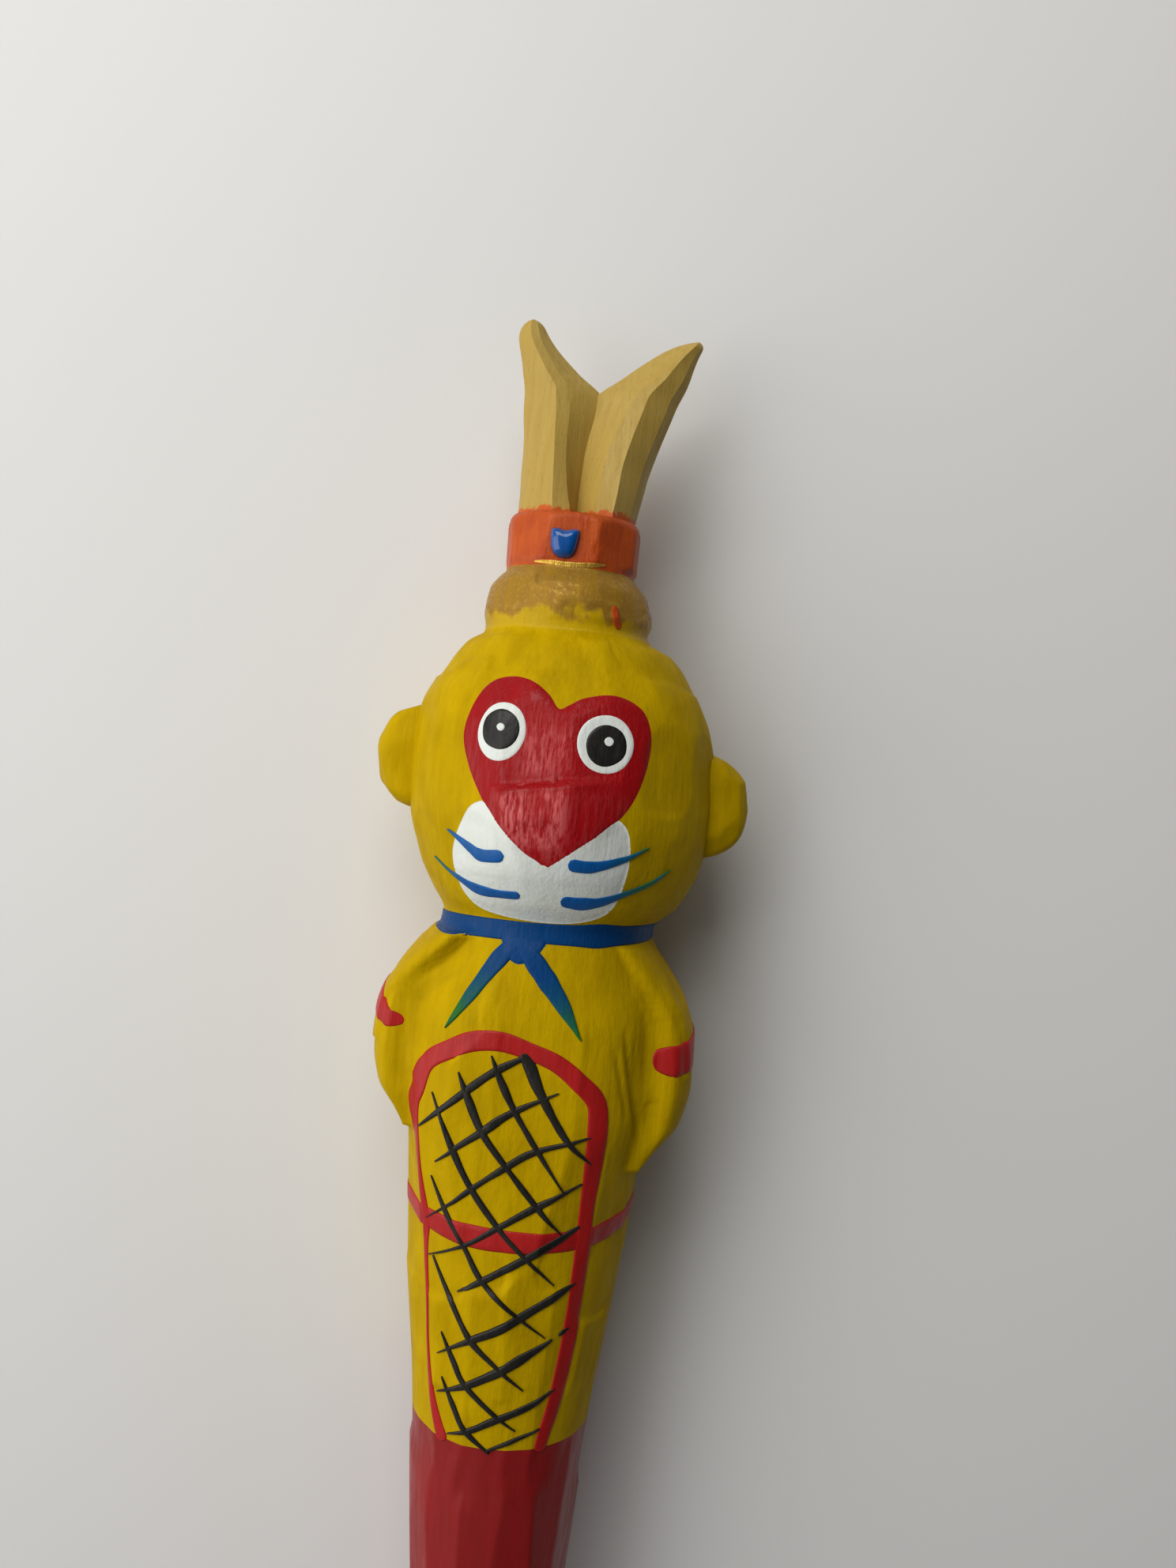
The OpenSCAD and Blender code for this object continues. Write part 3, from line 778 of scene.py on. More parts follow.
def paper_material(colour):
    """Plain pale table top with a faint tooth."""
    material, nodes, shader = new_material("table_paper", 0.75, specular=0.25)
    place = nodes.add("ShaderNodeTexCoord").outputs["Object"]
    tooth = nodes.noise(place, 1400.0, 3.0)
    cloud = nodes.noise(place, 14.0, 2.0)
    nodes.feed(shader.inputs["Base Color"], cloudy(nodes, cloud, (0.3, 0.7, 0.0, 0.5), colour, 0.96))
    bump(nodes, shader, tooth, 0.12, 0.0001)
    return material


# ---------------------------------------------------------------- settings

def colour_setting(name, description, red, green, blue):
    """A colour property whose default is given as seen."""
    return bpy.props.FloatVectorProperty(name=name, description=description, subtype="COLOR", size=4,
                                         min=0.0, max=1.0, default=linear(red, green, blue))


def strength_setting(name, description, default):
    """A strength that can't go below nothing."""
    return bpy.props.FloatProperty(name=name, description=description, default=default, min=0.0)


class MonkeyPenCarving(bpy.types.PropertyGroup):
    """Sizes of the carved surface."""
    columns: bpy.props.IntProperty(
        name="Columns", description="Points round the wood", default=236, min=64, max=240)
    barrel_step: bpy.props.FloatProperty(
        name="Barrel step", description="Millimetres between rows on the barrel",
        default=0.8, min=0.4, max=2.0)
    figure_rows: bpy.props.IntProperty(
        name="Figure rows", description="Rows from the hem to the crown", default=290, min=100, max=300)
    knife_strength: bpy.props.FloatProperty(
        name="Knife strength", description="How strongly the knife cuts show",
        default=1.0, min=0.0, max=1.0, subtype="FACTOR")
    knife_edge: bpy.props.FloatProperty(
        name="Knife edge", description="Softness of the edges between cuts in millimetres",
        default=0.02, min=0.01, max=0.2)


class MonkeyPenColours(bpy.types.PropertyGroup):
    """Colours of the paints and of the bare stuffs."""
    yellow: colour_setting("Fur yellow", "Coat of the fur and the jacket", 200, 164, 0)
    yellow_thin: colour_setting("Thin yellow", "The same coat where the brush left less", 176, 142, 0)
    trouser_red: colour_setting("Trouser red", "Coat of the barrel", 150, 26, 26)
    trouser_dark: colour_setting("Dark trouser red", "Thin places of the barrel's coat", 126, 18, 18)
    heart_red: colour_setting("Face red", "Heart-shaped face", 160, 15, 19)
    heart_dark: colour_setting("Dark face red", "Thin places of the face", 150, 12, 18)
    # Painted highlight: the pale red laid on the face's facets that face the light
    heart_painted_sheen: colour_setting("Face sheen", "Shiny dragged streaks of the face", 206, 92, 92)
    line_red: colour_setting("Line red", "Panel, belt and arm marks", 182, 28, 26)
    blue: colour_setting("Scarf blue", "Scarf and its tails", 8, 64, 120)
    whisker_blue: colour_setting("Whisker blue", "Whisker strokes", 10, 92, 166)
    thin_green: colour_setting("Green", "Blue laid thinly over yellow", 36, 104, 34)
    white: colour_setting("White", "Muzzle and eyes", 228, 233, 228)
    white_grey: colour_setting("Greyish white", "Thin places of the muzzle", 222, 226, 214)
    black: colour_setting("Black", "Hatching and pupils", 26, 24, 22)
    orange: colour_setting("Orange", "Headband", 200, 88, 22)
    orange_dark: colour_setting("Dark orange", "Thin places of the headband", 172, 62, 16)
    hoop_gold: colour_setting("Hoop gold", "Gold paint on the hoop", 166, 124, 34)
    hoop_brown: colour_setting("Hoop brown", "Gold paint where the wood shows through", 156, 116, 44)
    wood_light: colour_setting("Light wood", "Bare wood of the crown", 188, 158, 76)
    wood_warm: colour_setting("Warm wood", "Warmer streaks in the bare wood", 180, 148, 64)
    wood_dark: colour_setting("Dark wood", "Growth lines in the bare wood", 172, 138, 62)
    wood_pore: colour_setting("Wood pores", "Pores in the bare wood", 146, 112, 50)
    jewel: colour_setting("Jewel blue", "Drop on the headband", 4, 72, 140)
    tube: colour_setting("Tube", "Milky plastic of the ink tube", 235, 238, 240)
    ink: colour_setting("Ink", "Ink in the tube", 12, 16, 40)
    brass: colour_setting("Brass", "Metal tip", 214, 168, 96)
    steel: colour_setting("Ball metal", "Writing ball", 200, 200, 205)
    paper: colour_setting("Table", "Surface under the pen", 230, 229, 226)


class MonkeyPenStage(bpy.types.PropertyGroup):
    """Camera and lights."""
    eye_height: bpy.props.FloatProperty(
        name="Camera height", description="Camera above the pen's axis",
        default=0.1, min=0.03, unit="LENGTH")
    eye_turn: bpy.props.FloatProperty(
        name="Camera turn", description="Turn of the picture about the line of sight",
        default=math.radians(5.2), subtype="ANGLE")
    eye_reach: bpy.props.FloatProperty(
        name="Length in view", description="Length of the table plane in view at the axis",
        default=0.11904, min=0.02, unit="LENGTH")
    top_place: bpy.props.FloatVectorProperty(
        name="Top light's place", description="Middle of the soft light past the crown",
        default=(-0.08, 0.23, 0.2), subtype="TRANSLATION", unit="LENGTH")
    top_power: strength_setting("Top light", "Power of the soft light past the crown, in watts", 0.47)
    side_place: bpy.props.FloatVectorProperty(
        name="Side light's place", description="Middle of the soft light at the left",
        default=(-0.175, 0.03, 0.13), subtype="TRANSLATION", unit="LENGTH")
    side_power: strength_setting("Side light", "Power of the soft light at the left, in watts", 0.25)
    fill: strength_setting("Fill", "Strength of the room's light from the right", 0.03)
    window_fill: strength_setting("Window fill", "Strength of the room's light from the left", 0.32)
    backdrop: strength_setting("Backdrop", "Brightness of the backdrop as the camera sees it", 0.24)


# ---------------------------------------------------------------- operators

def shared(store, key, make):
    """A material or node group by name, made when it is first asked for."""
    return store.get(key) or make()


def brush():
    """The brush marks group."""
    return shared(bpy.data.node_groups, "Brush marks", brush_group)


def carved_surface(context):
    """The carved surface, worked out once for all pieces."""
    if "surface" not in WORKSHOP:
        WORKSHOP["surface"] = CarvedSurface(context.scene.monkey_pen_carving)
    return WORKSHOP["surface"]


WORKSHOP = {}


def common_paint(name, colours):
    """A finish that more than one piece wears."""
    recipes = {
        "line_red_paint": (colours.line_red, colours.trouser_red, 0.4, 0.35, 1.2),
        "orange_paint": (colours.orange, colours.orange_dark, 0.45, 0.7, 1.4, 0.0, 0.9),
        "yellow_paint": (colours.yellow, colours.yellow_thin, 0.52, 0.6, 1.0, 0.0, 0.8, None, 0.03),
        "black_paint": (colours.black, BLACK_WORN, 0.32, 0.3, 1.5),
    }
    return shared(bpy.data.materials, name, lambda: paint_material(name, *recipes[name]))


def bare_wood(colours):
    """The bare wood of the crown and of the bore."""
    return shared(bpy.data.materials, "bare_wood", lambda: wood_material(colours))


# Radius and height above the nose, down the bore's wall and out over the nose's end
BORE_PROFILE = [(0.6, 95.3), (1.55, 95.3), (1.55, 60), (1.55, 30), (1.55, 0.25), (1.75, 0.0),
                (2.45, 0.0), (2.85, 0.14)]


class MONKEYPEN_OT_body(bpy.types.Operator):
    """Builds the carved body as one closed surface from the bore to the headband"""
    bl_idname = "monkey_pen.body"
    bl_label = "Carved body"

    def execute(self, context):
        """Rows run up the bore's wall from its blind end, over the nose, along the outside
        to the headband, and each row of faces takes the paint of its place."""
        colours = context.scene.monkey_pen_colours
        surface = carved_surface(context)
        theta = surface.theta
        rings = [np.stack([r * np.cos(theta), np.full(theta.shape, NOSE + h),
                           AXIS + r * np.sin(theta)], axis=-1) for r, h in BORE_PROFILE]
        y = surface.y[:, None] + 0 * theta[None, :]
        hem = 0.55 * (1 - np.abs(np.sin(theta))) + waver(theta / (2 * np.pi), 5, 0.05)
        y = y + hem * np.exp(-((y - HEM) / 1.1) ** 2)
        outside = surface.point(np.broadcast_to(theta, y.shape), y)
        top = outside[-1] * [0.5, 1, 0.5] + np.array([CROWN_SHIFT, 0.15, AXIS]) * [0.5, 1, 0.5]
        rings = np.concatenate([np.stack(rings), outside, top[None]])
        row_y = np.concatenate([np.full(len(BORE_PROFILE), NOSE), surface.y, [CROWN + 1]])
        row_slot = np.select([row_y < HEM, row_y < HOOP - 0.15, row_y < BAND - 0.25], [0, 1, 2], 3)
        row_slot[:4] = 4
        shape = Shape()
        shape.tube(rings, slots=np.repeat(row_slot[:-1], len(theta)))
        red = paint_material("trouser_red_paint", colours.trouser_red, colours.trouser_dark,
                             0.36, 0.2, 0.9, 0.05, 0.5, specular=0.3)
        on_wood(shape, "painted_body",
                [red, common_paint("yellow_paint", colours), hoop_material(colours),
                 common_paint("orange_paint", colours), bare_wood(colours)])
        return {"FINISHED"}


EAR_INNER, EAR_WIDTH = 9.2, 11       # sideways places of the ear's root and of its outline's foot
EAR_HALF_LENGTH, EAR_DEPTH = 4.1, 5
# Ear outline from below to above: share of the half length, share of the reach
EAR_OUTLINE = [
    [-1.05, -0.3], [-0.88, 0.45], [-0.55, 0.9], [0, 1.03], [0.45, 0.93], [0.8, 0.48], [1, -0.2],
]


def carve_ear(shape, side, reach, middle, seed, rows=44, columns=48, power=2.4, planes=26):
    """An ear: rows follow its outline along the pen, and each row is a flattened oval
    |u|^power + |v|^power = 1 between its inner and outer edge, shaved a little by seeded planes."""
    t = np.linspace(0, 1, rows)
    path = through(EAR_OUTLINE, rows)
    outer = EAR_WIDTH + reach * path[:, 1]
    turn = 2 * np.pi * np.arange(columns) / columns
    c, s = np.cos(turn), np.sin(turn)
    u = np.sign(c) * np.abs(c) ** (2 / power)
    v = np.sign(s) * np.abs(s) ** (2 / power)
    half = (outer - EAR_INNER) / 2
    thick = EAR_DEPTH / 2 * (0.35 + 0.65 * np.sin(np.pi * np.clip(t, 0.02, 0.98)) ** 0.6)
    x = HEAD_SHIFT + side * ((outer + EAR_INNER) / 2)[:, None] + side * half[:, None] * u[None, :]
    z = thick[:, None] * v[None, :]
    y = (middle + EAR_HALF_LENGTH * path[:, 0])[:, None] + 0 * x
    points = np.stack([x, y, z], axis=-1)
    centre = np.array([HEAD_SHIFT + side * (EAR_WIDTH - 0.5), middle, 0.0])
    rng = np.random.default_rng(seed)
    out = points - centre
    far = np.linalg.norm(out, axis=-1)
    unit = out / far[..., None]
    best = far.copy()
    for _ in range(planes):
        normal = rng.normal(size=3) * [1, 0.7, 1.1]
        normal[0] = side * abs(normal[0])
        normal /= np.linalg.norm(normal)
        reach_k = (out @ normal).max() - rng.uniform(0.1, 0.26)
        facing = unit @ normal
        best = np.minimum(best, np.where(facing > 0.05, reach_k / np.maximum(facing, 0.05), 1e3))
    points = centre + unit * best[..., None] + [0, 0, AXIS]
    shape.tube(points)


class MONKEYPEN_OT_ears(bpy.types.Operator):
    """Builds both ears"""
    bl_idname = "monkey_pen.ears"
    bl_label = "Ears"

    def execute(self, context):
        """Two carved lobes, the left one a little higher."""
        shape = Shape()
        carve_ear(shape, -1, 2.9, NECK + 11.6, 3)
        carve_ear(shape, 1, 3.2, NECK + 9.7, 8)
        yellow = common_paint("yellow_paint", context.scene.monkey_pen_colours)
        on_wood(shape, "ears", [yellow], sharp=math.radians(40))
        return {"FINISHED"}


def add_prong(shape, side, lean, cut, ridges):
    """One prong of the crown: its inner and outer edge and its thickness follow six
    stations, and each section is a carved polygon stretched between those edges. Its two
    front ridges are given at the root, half way, at the notch and at the tip as shares of
    the way from the outer edge to the inner one, then their shares of the thickness."""
    half, thick, usual_lean = 4.25, 3.5, 6
    tilt = lean - usual_lean
    free = TOP - cut - NOTCH
    root = CROWN - 1.5
    edges = np.array([
        [root, -0.2, half, thick],
        [(root + NOTCH) / 2, -0.3 + 0.2 * tilt, half + 0.4 + 0.2 * tilt, thick - 0.6],
        [NOTCH - 0.3, -0.3 + 0.6 * tilt, half + 1.2 + 0.6 * tilt, thick - 1.4],
        [NOTCH + 0.3 * free, 1.7 + 0.55 * tilt, half + 1.8 + 0.75 * tilt, thick - 1.8],
        [NOTCH + 0.75 * free, lean - 1.75 - 0.35 * tilt, lean + 0.85 - 0.25 * tilt, thick - 2.5],
        [TOP - cut, lean - 0.3, lean + 0.9, 0.6],
    ])
    edges[:, 2] += [0.0, 0.0, 0.22, 0.22, -0.12, -0.12] if side < 0 else [0.1, 0.4, 0.45, 0.3, 0.1, 0.1]
    y = np.linspace(root, TOP - cut, 90)
    inner, outer, depth = (monotone(y, edges[:, 0], edges[:, k]) for k in (1, 2, 3))
    tip = np.sqrt(np.clip(1 - ((y - (TOP - cut - 0.7)) / 0.7).clip(0, 1) ** 2, 0.03, 1))
    shares = np.array(ridges[0])
    knots = [root, (root + NOTCH) / 2, NOTCH, TOP - cut]
    first, second = (monotone(y, knots, shares[:, k]) for k in (0, 1))
    low, high, inside = ridges[1]
    zero = 0 * y
    front = np.stack([
        np.stack([zero, zero + 0.12], axis=1), np.stack([zero + 0.1, zero + low], axis=1),
        np.stack([first, zero + 1.0], axis=1), np.stack([second, zero + high], axis=1),
        np.stack([zero + 1, zero + inside], axis=1)], axis=1)
    ring = np.concatenate([front, front[:, ::-1] * [1, -1]], axis=1)
    between = (np.arange(4) / 4)[None, None, :, None]
    ring = ring[:, :, None] * (1 - between) + np.roll(ring, -1, axis=1)[:, :, None] * between
    ring = ring.reshape(len(y), -1, 2)
    middle = (inner + outer) / 2
    span = (inner - outer) * tip
    x = side * (middle[:, None] + span[:, None] * (ring[..., 0] - 0.5)) + CROWN_SHIFT
    z = (depth * tip)[:, None] * ring[..., 1]
    rows = np.arange(len(y)) / len(y)
    turn = 2 * np.pi * np.arange(x.shape[1]) / x.shape[1]
    ripple = waver(rows, 31 + side, 0.06)[:, None] * np.sin(turn + side)
    shape.tube(np.stack([x + ripple, y[:, None] + 0 * x, AXIS + z + 0.7 * ripple], axis=-1))


class MONKEYPEN_OT_crown(bpy.types.Operator):
    """Builds the two prongs of the crown in bare wood"""
    bl_idname = "monkey_pen.crown"
    bl_label = "Crown"

    def execute(self, context):
        """A left prong with a broad face and a steep groove wall, and a right one that leans more."""
        shape = Shape()
        add_prong(shape, -1, 4.2, 0.0,
                  ([(0.62, 0.97), (0.5, 0.68), (0.41, 0.58), (0.4, 0.72)], (0.5, 0.88, 0.25)))
        add_prong(shape, 1, 7.8, 0.6,
                  ([(0.36, 0.62), (0.38, 0.64), (0.36, 0.52), (0.3, 0.42)], (0.55, 0.93, 0.3)))
        wood = bare_wood(context.scene.monkey_pen_colours)
        on_wood(shape, "crown_prongs", [wood], sharp=math.radians(14))
        return {"FINISHED"}


def sheen(x, y):
    """Painted highlight on the heart, where its glossy facets catch the light: a facet between
    the eyes, one on the left of the nose block, and faintly the lower right."""
    ledge = 54.3 + 0.165 * x
    upper = (step(x, -2.9, -1.6) * (1 - step(x, 0.6, 1.8))
             * step(y, ledge + 0.2, ledge + 1.2) * (1 - step(y, 57.6, 59.8)))
    lower = (step(x, -4.6 + 0.3 * (54 - y), -3.2 + 0.3 * (54 - y)) * (1 - step(x, 0.4, 1.6))
             * step(y, 48.4, 51.0) * (1 - step(y, ledge - 0.7, ledge - 0.15)))
    return 0.55 * upper + 0.85 * lower + 0.12 * step(x, 0.6, 2.4) * (1 - step(y, 53.0, 54.4))


# Outlines of (x, y), seen from the front
MUZZLE = [
    (-5.2, 52.6), (-6.2, 51.1), (-6.7, 48.9), (-6.1, 46.8), (-4.8, 45.3), (-2.8, 44.7), (0.4, 44.5),
    (3.0, 44.8), (4.7, 45.8), (5.5, 47.9), (5.7, 50.3), (4.9, 52.1), (2.0, 52.8), (-2.5, 52.9),
]
HEART = [
    (-0.1, 59.5), (-0.9, 60.5), (-2.2, 61.4), (-3.7, 61.6), (-5.1, 61.0), (-6.1, 59.4), (-6.6, 57.3),
    (-6.1, 55.3), (-5.0, 53.2), (-3.5, 51.1), (-1.7, 49.4), (0.0, 48.5), (0.4, 48.6), (1.7, 49.6),
    (3.6, 51.1), (5.3, 53.0), (6.2, 55.3), (6.5, 57.8), (6.0, 59.6), (4.9, 60.5), (3.4, 60.8),
    (1.6, 60.4), (0.6, 59.8),
]
# Eyes from below to above. Parts: name, lift, rings, points round, wobble, and for the left and
# the right eye x, y, width, length, lean, seed
EYE_PARTS = [
    ("eye_whites", 0.13, 12, 90, 0.03, [(-3.85, 57.6, 3.5, 4.4, -6, 3), (3.3, 57.35, 4.15, 4.3, 8, 7)]),
    ("pupils", 0.17, 10, 80, 0.04, [(-3.9, 57.75, 2.75, 3.1, -4, 2), (3.35, 57.25, 3.05, 3.1, 6, 9)]),
    ("eye_glints", 0.21, 6, 40, 0.01, [(-3.9, 57.9, 0.62, 0.62, 0, 1), (3.5, 57.55, 0.72, 0.72, 0, 1)]),
]
# Strokes of (x, y, width), each with how thin the coat is along it
WHISKERS = [
    ([(-7.2, 50.5, 0.1), (-6.2, 49.9, 0.45), (-5.4, 49.4, 0.72), (-4.5, 48.95, 0.95), (-2.9, 49.1, 0.9)],
     [0.5, 0, 0, 0, 0]),
    ([(-8.1, 48.4, 0.1), (-7.0, 47.6, 0.25), (-5.9, 47.0, 0.5), (-4.7, 46.5, 0.8), (-3.2, 46.35, 0.65),
      (-1.6, 46.4, 0.6)], [1, 0.7, 0, 0, 0, 0]),
    ([(1.5, 48.95, 0.92), (3.2, 48.9, 0.85), (5.4, 49.6, 0.42), (7.0, 50.5, 0.1)], [0, 0, 0.3, 1]),
    ([(1.2, 46.3, 0.85), (2.6, 46.2, 0.95), (3.9, 46.4, 0.8), (5.4, 47.0, 0.5), (7.4, 47.95, 0.36),
      (8.7, 49.0, 0.1)], [0, 0, 0.1, 0.7, 0.9, 1]),
]


class MONKEYPEN_OT_face(bpy.types.Operator):
    """Paints the muzzle, the heart-shaped face, the eyes and the whiskers"""
    bl_idname = "monkey_pen.face"
    bl_label = "Face paint"

    def execute(self, context):
        """Coats of paint laid over each other, each a little higher than the one below."""
        colours = context.scene.monkey_pen_colours
        surface = carved_surface(context)
        white = paint_material("white_paint", colours.white, colours.white_grey, 0.36, 0.55, 1.2, 0.1, 0.75)
        # The face's under colour is a painted highlight, not a colour showing through a thin coat
        red = paint_material("face_red_paint", colours.heart_red, colours.heart_dark, 0.42, 1.0, 1.3,
                             0.0, 0.6, under=colours.heart_painted_sheen, specular=0.1, gloss=0.3, streaky=True)
        black = common_paint("black_paint", colours)
        blue = paint_material("whisker_paint", colours.whisker_blue, colours.blue, 0.35, 0.4, 1.5,
                              under=colours.thin_green)
        muzzle = Shape()
        add_patch(muzzle, surface, MUZZLE, 0.05, seed=4)
        on_wood(muzzle, "muzzle_paint", [white])
        heart = Shape()
        # Here thin carries the face's painted highlight mask
        add_patch(heart, surface, HEART, 0.09, rings=44, count=220, seed=6, wobble=0.04,
                  centre=(0.0, 55.6), thin=sheen)
        on_wood(heart, "heart_face", [red])
        for name, lift, rings, count, wobble, pair in EYE_PARTS:
            part = Shape()
            for x, y, across, along, lean, seed in pair:
                add_patch(part, surface, oval(x, y, across, along, lean), lift, rings, count, seed, wobble)
            on_wood(part, name, [black if name == "pupils" else white])
        whiskers = Shape()
        for seed, (path, thin) in enumerate(WHISKERS, 2):
            add_stroke(whiskers, surface, path, 0.13, seed, thin=thin)
        on_wood(whiskers, "whiskers", [blue])
        return {"FINISHED"}


SCARF_KNOT = [
    (-2.8, 43.6), (-2.5, 42.6), (-2.1, 41.8), (-1.3, 41.5), (-0.5, 41.8), (0.2, 42.6), (0.4, 43.4),
    (-1.2, 44.0),
]
LEFT_TAIL = [
    (-1.3, 43.2, 1.1), (-2.3, 42.3, 1.3), (-3.2, 41.1, 1.3), (-4.3, 39.4, 1.05), (-5.3, 37.8, 0.6),
    (-6.1, 36.5, 0.08),
]
RIGHT_TAIL = [
    (-1.4, 43.2, 0.9), (-0.6, 42.2, 1.25), (0.5, 40.9, 1.4), (1.9, 39.1, 1.1), (2.7, 37.9, 0.6),
    (3.5, 36.6, 0.08),
]


class MONKEYPEN_OT_scarf(bpy.types.Operator):
    """Paints the scarf, its knot and its two tails"""
    bl_idname = "monkey_pen.scarf"
    bl_label = "Scarf paint"

    def execute(self, context):
        """A ring of thick blue paint round the neck, and two strokes that thin to green points."""
        colours = context.scene.monkey_pen_colours
        surface = carved_surface(context)
        blue = paint_material("scarf_paint", colours.blue, SCARF_DEEP, 0.4, 0.6, 1.2, 0.0,
                              under=colours.thin_green, specular=0.08, gloss=0.12)
        scarf = Shape()
        add_ring(scarf, surface, lambda a: 43.8 + 0.35 * np.cos(a) * np.abs(np.cos(a)) * 0.6,
                 lambda a: 1.25 + 0.2 * np.sin(a) + 0.25 * np.exp(-((a - 1.05) / 0.16) ** 2), 0.11, 12)
        add_patch(scarf, surface, SCARF_KNOT, 0.1, rings=8, count=50, seed=3)
        add_stroke(scarf, surface, LEFT_TAIL, 0.12, 14, thin=[0, 0, 0.1, 0.55, 1, 1])
        add_stroke(scarf, surface, RIGHT_TAIL, 0.125, 15, thin=[0, 0, 0, 0.2, 0.8, 1])
        on_wood(scarf, "scarf", [blue])
        return {"FINISHED"}


# From the hem at the left, over the top of the panel, to the hem at the right
PANEL = [
    (-3.7, 6.62, 0.95), (-4.3, 8.0, 0.75), (-4.9, 9.9, 0.55), (-5.45, 13.2, 0.3), (-5.8, 16.7, 0.32),
    (-6.2, 20.0, 0.5), (-6.4, 22.4, 0.7), (-7.1, 25.5, 0.5), (-7.6, 28.5, 0.85), (-7.9, 30.4, 1.3),
    (-7.8, 32.2, 1.6), (-7.1, 34.0, 1.4), (-5.6, 35.1, 1.35), (-4.0, 35.9, 1.4), (-2.1, 36.1, 1.35),
    (0.0, 35.6, 1.2), (2.0, 34.9, 1.25), (3.8, 33.6, 1.35), (5.0, 32.3, 1.45), (5.25, 30.4, 1.6),
    (5.2, 28.1, 1.5), (5.0, 24.6, 1.15), (4.95, 21.0, 1.3), (4.7, 16.4, 1.3), (4.5, 14.1, 1.28),
    (4.0, 10.4, 1.15), (3.4, 7.8, 1.0), (3.15, 6.62, 0.95),
]
# Strokes of (angle in degrees, y, width)
LEFT_ARM_MARK = [(212, 38.8, 1.2), (196, 38.2, 1.4), (174, 37.8, 1.8), (162, 37.1, 1.7), (152, 36.1, 1.1)]
RIGHT_ARM_MARK = [(30, 35.0, 2.7), (25, 35.15, 2.5), (15, 35.6, 2.2), (0, 36.2, 1.9), (-24, 36.9, 1.5)]
RISING = [
    [(-7.5, 29.1, 0.1), (-6.0, 30.7, 0.38), (-4.4, 32.2, 0.5), (-2.4, 33.9, 0.5), (-0.2, 35.2, 0.35)],
    [(-6.0, 26.9, 0.1), (-4.3, 28.5, 0.35), (-2.8, 29.7, 0.55), (-0.9, 31.2, 0.45), (2.3, 32.9, 0.1)],
    [(-6.4, 22.4, 0.08), (-3.2, 25.5, 0.35), (-0.9, 27.4, 0.45), (1.1, 28.7, 0.4), (4.8, 29.9, 0.12)],
    [(-6.0, 19.8, 0.08), (-3.1, 21.5, 0.28), (-1.1, 23.0, 0.42), (1.4, 24.7, 0.45), (4.5, 26.5, 0.12)],
    [(-3.6, 17.9, 0.08), (-1.9, 19.0, 0.45), (0.9, 20.9, 0.5), (3.0, 22.2, 0.62), (4.6, 23.3, 0.15)],
    [(-4.7, 13.0, 0.08), (-2.4, 14.6, 0.42), (-0.6, 15.6, 0.6), (1.6, 17.1, 0.6), (3.3, 18.2, 0.5),
     (4.7, 19.1, 0.12)],
    [(-4.5, 10.1, 0.08), (-2.3, 11.3, 0.48), (-0.2, 12.6, 0.62), (2.0, 14.1, 0.55), (3.4, 15.1, 0.12)],
    [(-3.5, 7.3, 0.08), (-1.8, 8.0, 0.38), (-0.3, 8.9, 0.5), (2.3, 10.2, 0.42), (3.9, 11.3, 0.1)],
    [(-0.7, 6.6, 0.15), (1.3, 7.6, 0.3), (3.1, 8.4, 0.1)],
]
FALLING = [
    [(-6.6, 31.9, 0.08), (-4.8, 28.2, 0.45), (-3.2, 25.5, 0.4), (-1.1, 23.0, 0.42), (0.9, 21.1, 0.3),
     (3.2, 19.0, 0.08)],
    [(-4.8, 33.7, 0.08), (-4.0, 32.0, 0.45), (-2.8, 29.7, 0.5), (-0.9, 27.4, 0.38), (1.5, 24.7, 0.36),
     (3.4, 22.7, 0.12)],
    [(-2.6, 35.1, 0.08), (-1.8, 33.4, 0.45), (-0.6, 31.3, 0.4), (1.2, 28.7, 0.32), (3.4, 25.7, 0.1)],
    [(-0.5, 35.4, 0.6), (0.1, 34.6, 0.85), (1.0, 32.8, 0.6), (3.0, 29.8, 0.42), (5.0, 27.9, 0.1)],
    [(-6.2, 25.8, 0.08), (-4.8, 23.2, 0.4), (-3.3, 21.1, 0.36), (-1.9, 19.0, 0.36), (0.6, 16.9, 0.26),
     (2.9, 15.2, 0.08)],
    [(-5.6, 19.9, 0.1), (-4.2, 17.5, 0.36), (-2.4, 14.7, 0.4), (-0.3, 12.9, 0.3), (1.7, 11.3, 0.08)],
    [(-4.5, 14.7, 0.08), (-3.4, 12.7, 0.4), (-2.5, 11.3, 0.4), (-0.1, 9.3, 0.26), (1.4, 8.3, 0.08)],
    [(-4.2, 11.4, 0.08), (-3.2, 9.5, 0.38), (-2.2, 7.9, 0.38), (-0.3, 6.5, 0.15)],
]
STRAY_DASH = [(3.8, 15.3, 0.1), (4.1, 15.5, 0.35), (4.5, 15.8, 0.1)]
HATCHING_WIDTH = 1.15       # how much broader than listed every line of the hatching is drawn
HATCHING_SEED = 40


